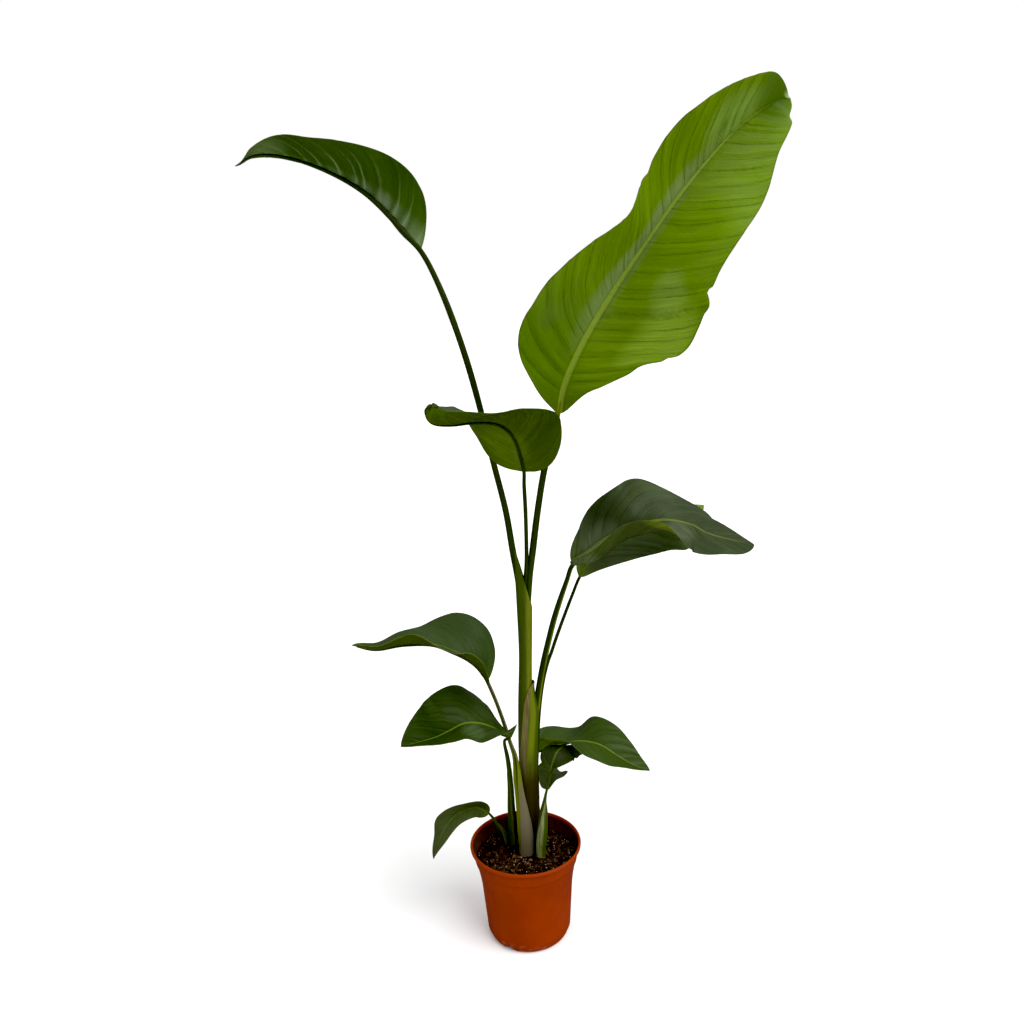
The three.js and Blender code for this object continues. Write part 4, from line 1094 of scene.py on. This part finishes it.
def pot_radius(pot, z):
    """Outer radius at a height in millimetres: a tapered body that flares into a collar."""
    rim, foot, height = pot.rim_radius / MM, pot.foot_radius / MM + 3, pot.height / MM
    taper, flare_from = 8 / 110, 90
    flare = np.maximum(0, z - flare_from) / (height - flare_from)
    return foot + z * taper + (rim - foot - height * taper) * flare ** 1.9


class PLANT_OT_pot(bpy.types.Operator):
    """Turns the plastic nursery pot and cuts its drain slots"""
    bl_idname = "plant.pot"
    bl_label = "Pot"

    def execute(self, context):
        pot = context.scene.plant_pot
        thing = self.body(pot)
        cutter = self.slots(pot)
        cut = thing.modifiers.new("Slots", "BOOLEAN")
        cut.operation, cut.solver, cut.object = "DIFFERENCE", "EXACT", cutter
        settle(thing)
        bpy.data.objects.remove(cutter)
        declare(thing, ["pot"])
        return {"FINISHED"}

    def body(self, pot):
        """Turns the wall's section, from the underside over the lip to the inner floor."""
        height, rim, foot = pot.height / MM, pot.rim_radius / MM, pot.foot_radius / MM
        wall, shoulder, corner, around = pot.wall / MM, (pot.height - pot.lip) / MM, 6, 144
        groove = height - 29
        profile = [(20, 0.6), (52, 0.6), (55, 0), (foot - corner, 0)]
        for a in np.radians(np.arange(15, 91, 15)):
            profile.append((foot - corner + (corner + 1) * math.sin(a),
                            corner * (1 - math.cos(a)) * 1.3))
        profile += [(pot_radius(pot, z), z) for z in np.arange(13, groove - 3, 6)]
        edge = pot_radius(pot, groove)
        profile += [(edge - 0.75, groove - 2.2), (edge - 0.85, groove - 1.4),
                    (edge + 0.3, groove - 0.4), (edge + 0.9, groove + 0.2)]
        for share in (0.15, 0.35, 0.55, 0.75, 0.92):
            z = groove + share * (shoulder - groove)
            profile.append((pot_radius(pot, z) + 0.9 - 1.9 * share, z))
        top = pot_radius(pot, shoulder)
        profile += [(top - 1.5, shoulder - 0.2), (top - 1.4, shoulder + 0.4),
                    (rim - 1.4, shoulder + 0.7), (rim - 0.5, shoulder + 1.3)]
        for a in np.radians([-20, 10, 40, 65, 90, 115, 140, 165]):
            profile.append((rim - 2.2 + 2.2 * math.cos(a), height - 2.6 + 2.6 * math.sin(a)))
        inside = [*np.linspace(shoulder, 118, 6), 105, 90, 70, 50, 30, 12]
        profile += [(pot_radius(pot, z) - wall, z) for z in inside]
        profile += [(foot - corner, 2.6), (20, 2.6)]
        turn = np.linspace(0, 2 * np.pi, around, endpoint=False)
        rings = np.array([[(r * math.cos(a), r * math.sin(a), z) for a in turn]
                          for r, z in profile])
        inner = np.arange(len(profile)) >= len(profile) - len(inside) - 2
        mesh = grid_mesh("pot_plastic", rings, {"inner": np.repeat(inner * 1.0, around)},
                         closed=True, flip=True)
        cap_ends(mesh, around)
        mesh.materials.append(pot_paint(pot))
        return add_object("nursery_pot", mesh)

    def slots(self, pot):
        """Three round-topped bars, a third of a turn apart, that cut the drain slots."""
        foot, wide, high = pot.foot_radius / MM, 17, 8
        outline = [(-1, -4), (1, -4), (1, high - 3), (0.85, high - 1), (0.6, high), (-0.6, high),
                   (-0.85, high - 1), (-1, high - 3)]
        shape = bmesh.new()
        for angle in np.radians([-123, -3, 117]):
            out = Vector((math.cos(angle), math.sin(angle), 0))
            side = Vector((-math.sin(angle), math.cos(angle), 0))
            near, far = ([shape.verts.new((out * reach + side * s * wide / 2
                                           + Vector((0, 0, z))) * MM) for s, z in outline]
                         for reach in (foot - 12, foot + 14))
            shape.faces.new(near[::-1])
            shape.faces.new(far)
            for k in range(len(outline)):
                n = (k + 1) % len(outline)
                shape.faces.new((near[k], near[n], far[n], far[k]))
        bmesh.ops.recalc_face_normals(shape, faces=shape.faces)
        mesh = bpy.data.meshes.new("slots")
        shape.to_mesh(mesh)
        shape.free()
        return add_object("slots", mesh)


def pot_paint(pot):
    """Satin orange plastic: faint upright scuffs, specks, a painted highlight on the lip band with a
    darker line under it, stains with painted shade inside, and lime by the foot.
    """
    paint = Paint("nursery_plastic", specular=0.08)
    dark_tint = tinted(pot.plastic, (0.35, 0.3, 0.3))
    x, y, z = paint.split(paint.place)[:3]
    broad = paint.noise(paint.place, 14.0, 4.0)
    scuff = paint.noise(paint.scaled(paint.place, (1, 1, 0.12)), 160.0, 5.0, 0.7)
    speck = paint.noise(paint.place, 520.0, 2.0)
    paint.start(paint.remap(broad, 0.3, 0.7), tinted(pot.plastic, (0.9, 0.88, 0.9)),
                tinted(pot.plastic, (1.08, 1.1, 1.1)))
    paint.coat(paint.remap(scuff, 0.58, 0.75, 0.0, 0.28), pot.lip_highlight_and_scuff)
    paint.coat(paint.remap(speck, 0.7, 0.76, 0.0, 0.35), dark_tint)
    # painted highlight: the lip band lighter
    paint.coat(paint.remap(z, 0.1625, 0.1655), pot.lip_highlight_and_scuff)
    # a darker line just under the lip band
    line_under_lip = paint.times(paint.remap(z, 0.1605, 0.163), paint.remap(z, 0.163, 0.1642, 1.0, 0.0))
    paint.coat(line_under_lip, dark_tint, 0.55)
    low = paint.remap(z, 0.003, 0.022, 1.0, 0.0)
    patch = paint.remap(paint.noise(paint.place, 75.0, 5.0, 0.7), 0.5, 0.66)
    front = paint.remap(paint.plus(paint.times(x, 0.55), y), -0.03, -0.075)
    paint.coat(paint.times(paint.times(low, patch), front), pot.lime, 0.75)
    # the inside: stains, darkened further with painted shade
    stain_and_painted_shade = paint.mix(paint.remap(scuff, 0.4, 0.7), pot.inner, tinted(pot.inner, (0.35, 0.4, 0.5)))
    paint.coat(paint.remap(paint.mark("inner"), 0.4, 0.9), stain_and_painted_shade)
    rough = paint.remap(scuff, 0.3, 0.75, 0.42, 0.62)
    height = paint.plus(paint.times(scuff, 0.5),
                        paint.times(paint.noise(paint.place, 800.0, 2.0), 0.5))
    return paint.finish(rough, height, 0.0003, 0.5)


class PLANT_OT_soil(bpy.types.Operator):
    """Fills the pot with soil and strews bark chips, crumbs, fibres and perlite on it"""
    bl_idname = "plant.soil"
    bl_label = "Soil"

    def execute(self, context):
        soil = context.scene.plant_soil
        mound = self.mound(soil, context.scene.plant_pot)
        area = math.pi * STREWN_RADIUS_M ** 2

        def block(graph):
            return graph.add("GeometryNodeMeshCube", (1, 1, 1), 3, 2, 2)

        def ball(graph):
            return graph.add("GeometryNodeMeshIcoSphere", 0.5, 1)

        def strand(graph):
            line = graph.add("GeometryNodeCurvePrimitiveLine", (-0.5, 0, 0), (0.5, 0, 0))
            line = graph.add("GeometryNodeResampleCurve", line, named={"Count": 6})
            ring = graph.add("GeometryNodeCurvePrimitiveCircle", 3, named={"Radius": 0.5})
            return graph.add("GeometryNodeCurveToMesh", line, ring, named={"Fill Caps": True})

        # name, shape, tilt, count, least and most size, its roughening and that one's scale,
        # and the paint: its name, colour, roughness and darkest tint
        kinds = [
            ("soil_crumbs", ball, 1.2, soil.crumbs, (0.0012, 0.0012, 0.001),
             (0.0042, 0.0036, 0.0028), 0.0016, 500.0,
             ("peat_crumb", soil.peat, 0.9, (1.7, 1.6, 1.5))),
            ("bark_chips", block, 0.45, soil.chips, (0.003, 0.0011, 0.0006),
             (0.0095, 0.0032, 0.0018), 0.0016, 420.0,
             ("bark", soil.bark, 0.8, (0.28, 0.24, 0.2))),
            ("soil_fibres", strand, 0.35, soil.fibres, (0.007, 0.0004, 0.0004),
             (0.020, 0.0008, 0.0008), 0.006, 130.0,
             ("fibre", soil.fibre, 0.75, (0.4, 0.35, 0.3))),
            ("perlite_grains", ball, 1.0, soil.perlite, (0.0011, 0.0011, 0.001),
             (0.0027, 0.0025, 0.0022), 0.0007, 900.0,
             ("perlite", soil.grain, 0.85, (0.75, 0.74, 0.72))),
        ]
        for step, kind in enumerate(kinds, 1):
            name, shape, tilt, count, least, most, roughen, scale, look = kind
            thing = grow(name, mound.data.copy(), scatter_tree(name, shape, tilt), {
                "Density": count / area, "Least Size": least, "Most Size": most,
                "Roughen": roughen, "Roughen Scale": scale, "Seed": soil.seed + step,
                "Material": grain_paint(*look)})
            declare(thing, ["soil"])
        return {"FINISHED"}

    def mound(self, soil, pot):
        """The soil as a closed lump, marked where grains may lie: not where a stem stands."""
        around, top = 180, soil.top / MM
        inner = [(60, 3.2), (70, 12)]
        inner += [(pot_radius(pot, z) - pot.wall / MM - 0.5, z) for z in (50, 90, 118, 140)]
        edge = inner[-1][0]
        turn = np.linspace(0, 2 * np.pi, around, endpoint=False)
        rings = [[(r * math.cos(a), r * math.sin(a), z) for a in turn] for r, z in inner]
        for share in np.r_[1, np.linspace(0.985, 0.02, 64)]:
            x, y = edge * share * np.cos(turn), edge * share * np.sin(turn)
            rings.append(np.stack([x, y, self.level(x, y, top)], -1))
        rings = np.array(rings)
        x, y, z = rings[..., 0], rings[..., 1], rings[..., 2]
        strewn = (z > top - 12) * (np.hypot(x, y) < edge * 0.985) * 1.0
        angle = np.degrees(np.arctan2(y, x))
        gathered = np.exp(-((angle + 125) / 45) ** 2) + 0.8 * np.exp(-((angle - 5) / 50) ** 2)
        strewn = strewn * (0.6 + 0.7 * gathered)
        for leaf in LEAVES.values():
            foot = leaf["stalk"][-1]
            if foot[2] == STALK_END:
                gap = np.hypot(x - foot[0], y - foot[1])
                strewn = strewn * smooth(gap, leaf["radius"][-1] - 1, leaf["radius"][-1] + 0.5)
        mesh = grid_mesh("soil_mound", rings, {"strewn": strewn.reshape(-1)}, closed=True,
                         flip=True)
        cap_ends(mesh, around)
        mesh.materials.append(soil_paint(soil))
        return declare(add_object("soil_mound", mesh), ["soil"])

    def level(self, x, y, top):
        """Height of the soil: a low hump with coarse, middle and fine lumps."""
        share = np.hypot(x, y) / 95
        z = top + 4 * (0.5 - 1.3 * share * share)
        z = z + 1.6 * ripples(x, y, 38, 1) * 0.7 + 0.9 * ripples(x, y, 11, 2)
        return z + 0.5 * ripples(x, y, 4.5, 3) * (1 - share ** 6)


def soil_paint(soil):
    """Wet soil with darker hollows and brown flecks."""
    paint = Paint("wet_soil", specular=0.15)
    broad = paint.noise(paint.place, 45.0, 5.0, 0.7)
    fine = paint.noise(paint.place, 420.0, 4.0, 0.7)
    paint.start(paint.remap(broad, 0.35, 0.7), tinted(soil.peat, (0.5, 0.5, 0.5)),
                tinted(soil.peat, (1.7, 1.6, 1.5)))
    paint.coat(paint.remap(fine, 0.6, 0.72, 0.0, 0.5), tinted(soil.bark, (0.4, 0.4, 0.4)))
    return paint.finish(paint.remap(fine, 0.3, 0.7, 0.7, 0.95), fine, 0.0012, 0.9)


def grain_paint(name, tone, roughness, spread):
    """A strewn grain: each copy has its own shade, with a fine mottle over it."""
    paint = Paint(name, specular=0.15)
    fine = paint.noise(paint.place, 700.0, 3.0)
    paint.start(paint.math("POWER", paint.mark("tone"), 2.2), tinted(tone, spread), tone)
    paint.coat(paint.remap(fine, 0.4, 0.7, 0.0, 0.45), tinted(tone, (0.5, 0.45, 0.4)))
    return paint.finish(paint.remap(fine, 0.3, 0.7, roughness - 0.1, roughness + 0.08),
                        fine, 0.0003, 0.6)


class PLANT_OT_blades(bpy.types.Operator):
    """Grows the eleven blades, pleated along their side veins"""
    bl_idname = "plant.blades"
    bl_label = "Blades"

    def execute(self, context):
        leaves = context.scene.plant_leaves
        relief = relief_tree()

        def thicken(thing):
            wall = thing.modifiers.new("Thickness", "SOLIDIFY")
            wall.thickness = leaves.thickness
            wall.offset = 0
            wall.material_offset, wall.material_offset_rim = 1, 2

        for number, (name, leaf) in enumerate(LEAVES.items()):
            large = leaf["half"][0] > 40
            rows = leaves.rows if large else leaves.rows // 2
            cols = leaves.columns if large else leaves.columns * 2 // 3
            mesh = blade_mesh(name, leaf, rows, cols)
            look = {**PLAIN_LOOK, **LOOKS[name]}
            for paint in (upper_paint, under_paint, margin_paint):
                mesh.materials.append(paint(name, look, leaves))
            blade = grow(name.replace("leaf", "blade"), mesh, relief, {
                "Pleat Depth": leaf["depth"] * MM * leaves.pleat,
                "Rib Groove": 0.2 * leaf["radius"][0] * MM,
                "Wave": min(leaf["half"]) * 0.05 * MM, "Wave Scale": 14.0,
                "Seed": float(leaves.seed + 7 * number), "Material": mesh.materials[0]}, thicken)
            declare(blade, [name])
        return {"FINISHED"}


class PLANT_OT_stems(bpy.types.Operator):
    """Sweeps the stalks with their keels, and wraps the sheaths round them"""
    bl_idname = "plant.stems"
    bl_label = "Stems"

    def execute(self, context):
        stems = context.scene.plant_stems
        tree = stem_tree()
        looks = self.looks(stems)
        for name, leaf in LEAVES.items():
            stalk_name = name.replace("leaf", "stalk")
            line = line_mesh(name, *stem_line(leaf, stems.steps))
            stalk = grow(stalk_name, line, tree, {
                "Sides": stems.sides,
                "Material": stem_paint(stalk_name, stems, looks.get(name, {}))})
            declare(stalk, [name])
        self.main_sheath(stems)
        self.outer_wrap(stems)
        green, paper = stems.sheath_green, stems.paper
        # leaf, heights of tip and foot, the way it faces, half widths, lift, and its look
        for where, *shape, look in [
                ("left_arching", (350, 112), -25, [0, 40, 66, 88, 108, 125], 0.9, {
                    "green": stems.lime, "paper": paper, "panel": (-1.1, -0.85),
                    "blush": tinted(paper, (1.6, 1.6, 1.8)), "brown": (0.0, 0.3, 0.5),
                    "paper_below": (0.55, 0.85)}),
                ("right_small", (262, 112), -60, [0, 45, 75, 95, 100], 0.8, {
                    "green": tinted(green, (1.5, 1.4, 2)), "paper": tinted(paper, (1.6, 2.2, 1.5)),
                    "panel": (-0.1, -0.45), "brown": (0.0, 0.2, 0.3)}),
                ("over_rim", (192, 112), -20, [0, 60, 90, 100], 0.6, {
                    "green": tinted(green, (1.5, 1.4, 1.6)), "paper": stems.cream,
                    "panel": (0.5, 1.0), "both": True, "brown": (0.0, 0.4, 0.4)}),
                ("left_low", (300, 112), -150, [0, 45, 70, 85, 95], 0.6, {
                    "green": green, "paper": stems.lime, "panel": (0.4, 1.0), "both": True,
                    "brown": (0.0, 0.3, 0.3)})]:
            self.wrap("leaf_" + where, *shape, sheath_paint("sheath_" + where, stems, look))
        return {"FINISHED"}

    def looks(self, stems):
        """How some stems depart from the plain green."""
        return {
            "leaf_high_right": {"high": (1.1, 1.1, 1), "turn": (700, 560),
                                "crown": (850, 905, stems.lime)},
            "leaf_right_front": {"high": (0.8, 0.9, 1), "turn": (430, 330),
                                 "right": (0.5, stems.lime)},
            "leaf_left_arching": {"turn": (340, 280), "left": (0.3, stems.lime),
                                  "right": (0.4, stems.paper)},
            "leaf_left_low": {"high": (1.7, 1.8, 1.2), "turn": (330, 250),
                              "low": tinted(stems.sheath_green, (1.3, 1.3, 1))},
        }

    def shell(self, name, node, points, edge, rise, paint, thickness, closed=False):
        """A sheath's outer face, thickened inward and placed in the frame."""
        mesh = grid_mesh(name, points, {"edge": edge.reshape(-1), "rise": rise.reshape(-1)},
                         closed=closed)
        mesh.materials.append(paint)
        thing = add_object(name, mesh)
        wall = thing.modifiers.new("Thickness", "SOLIDIFY")
        wall.thickness, wall.offset = thickness * MM, -1
        declare(settle(thing), [node])

    def strip(self, name, node, x, y, z, s, paint, thickness):
        """A sheath from rows of points at heights z, each from s = -1 to s = 1 across."""
        points = np.stack([x, y, np.broadcast_to(z[:, None], x.shape)], -1)
        rise = np.broadcast_to(((z - z[-1]) / (z[0] - z[-1]))[:, None], x.shape)
        self.shell(name, node, points, np.broadcast_to(s, x.shape), rise, paint, thickness)

    def shoot_at(self, z):
        """Centre and radius of the main stem at heights z."""
        line = spine(SHOOT["axis"], 240)
        order = np.argsort(line[:, 2])
        x, y, t = (np.interp(z, line[order, 2], values[order])
                   for values in (line[:, 0], line[:, 1], np.linspace(0, 1, len(line))))
        return x, y, along(SHOOT["radius"], t)

    def stalk_at(self, leaf, z):
        """Centre, radius and flatness of a leaf's stalk at heights z."""
        points, girths, flats = (part[KEEL_STEPS:] for part in stem_line(leaf, 160))
        order = np.argsort(points[:, 2])
        columns = [points[:, 0], points[:, 1], girths, flats]
        return [np.interp(z, points[order, 2], column[order]) for column in columns]

    def main_sheath(self, stems):
        """The tallest leaf's sheath: a pipe that opens in a slanting mouth."""
        (tip_x, tip_z), (end_x, end_z) = SHOOT["mouth"]
        slope = (end_z - tip_z) / (end_x - tip_x)
        around, rows, near_mouth = 72, 150, 620.0
        turn = np.linspace(0, 2 * np.pi, around, endpoint=False)
        x, _, r = self.shoot_at(np.full(around, near_mouth))
        mouth = tip_z + slope * (x + r * np.cos(turn) - tip_x)
        z = STALK_END + np.linspace(1, 0, rows)[:, None] * (mouth - STALK_END)
        x, y, r = (values.reshape(z.shape) for values in self.shoot_at(z.ravel()))
        points = np.stack([x + r * np.cos(turn), y + r * np.sin(turn), z], -1)
        rise = (z - STALK_END) / (tip_z - STALK_END)
        paint = sheath_paint("main_sheath", stems, {
            "green": tinted(stems.sheath_green, (1.7, 1.5, 1)), "paper": stems.lime,
            "panel": (-0.1, 0.5), "blush": stems.lime, "rim": stems.blush, "rim_from": 0.8,
            "brown": (0.0, 0.42, 0.85)})
        self.shell("main_sheath", "leaf_high_left", points,
                   np.broadcast_to(np.cos(turn), z.shape), rise, paint, 1.2, closed=True)

    def outer_wrap(self, stems):
        """The outer sheath: an oval round the main stem and the outer stalk, open in front."""
        margin = np.array(WRAP_MARGIN, float)
        z = np.linspace(margin[0, 1], STALK_END, 140)
        x, y, r = self.shoot_at(z)
        r = r + SHOOT["wrap"]
        stalk_x, _, stalk_r, _ = self.stalk_at(LEAVES["leaf_right_front"], z)
        cover = -1.7 + 2.8 * smooth(-z, -463, -400)  # the stalk sinks into the sheath
        beyond = np.maximum(0, (stalk_x + stalk_r * cover - x - r) / 2)
        order = np.argsort(margin[:, 1])
        free = np.interp(z, margin[order, 1], margin[order, 0])
        half = np.arccos(np.clip((free - x - beyond) / (r + beyond), -0.985, 0.97))
        s = np.linspace(-1, 1, 72)
        turn = half[:, None] * s
        paint = sheath_paint("outer_wrap", stems, {
            "green": tinted(stems.sheath_green, (1.4, 1.6, 1)), "paper": stems.cream,
            "panel": (0.6, 0.76), "both": True, "brown": (0.48, 0.7, 0.92),
            "line": stems.blush, "stripe": (-0.54, 0.14)})
        self.strip("outer_wrap", "leaf_right_front",
                   (x + beyond)[:, None] + (r + beyond)[:, None] * np.cos(turn),
                   y[:, None] + r[:, None] * np.sin(turn), z, s, paint, 1.1)

    def wrap(self, node, heights, facing, spread, lift, paint):
        """A pointed sheath on a stalk, wider round it towards the foot."""
        z = np.linspace(*heights, 90)
        x, y, r, flat = (values[:, None] for values in self.stalk_at(LEAVES[node], z))
        half = np.radians(np.maximum(along(spread, np.linspace(0, 1, len(z)) ** 0.7), 2))
        s = np.linspace(-1, 1, 36)
        turn = math.radians(facing) + half[:, None] * s
        self.strip(paint.name, node, x + (r + lift) * np.cos(turn),
                   y + (r * flat) * np.sin(turn) + lift * np.sin(turn), z, s, paint, lift * 0.7)


STEPS = {
    "plant_stage": (StageSettings, PLANT_OT_stage),
    "plant_pot": (PotSettings, PLANT_OT_pot),
    "plant_soil": (SoilSettings, PLANT_OT_soil),
    "plant_leaves": (LeafSettings, PLANT_OT_blades),
    "plant_stems": (StemSettings, PLANT_OT_stems),
}


class PLANT_PT_panel(bpy.types.Panel):
    """Lists the plant's settings and the steps that build it"""
    bl_idname = "PLANT_PT_panel"
    bl_label = "Potted plant"
    bl_space_type = "VIEW_3D"
    bl_region_type = "UI"
    bl_category = "Plant"

    def draw(self, context):
        for owner, (settings, operator) in STEPS.items():
            box = self.layout.box()
            for key in settings.__annotations__:
                box.prop(getattr(context.scene, owner), key)
            box.operator(operator.bl_idname)


CLASSES = [cls for pair in STEPS.values() for cls in pair] + [PLANT_PT_panel]


def register():
    for cls in CLASSES:
        bpy.utils.register_class(cls)
    for key, (settings, _) in STEPS.items():
        setattr(bpy.types.Scene, key, bpy.props.PointerProperty(type=settings))


def unregister():
    for key in STEPS:
        delattr(bpy.types.Scene, key)
    for cls in reversed(CLASSES):
        bpy.utils.unregister_class(cls)


def main():
    register()
    bpy.ops.plant.stage()
    bpy.ops.plant.pot()
    bpy.ops.plant.soil()
    bpy.ops.plant.blades()
    bpy.ops.plant.stems()


if __name__ == "__main__":
    main()
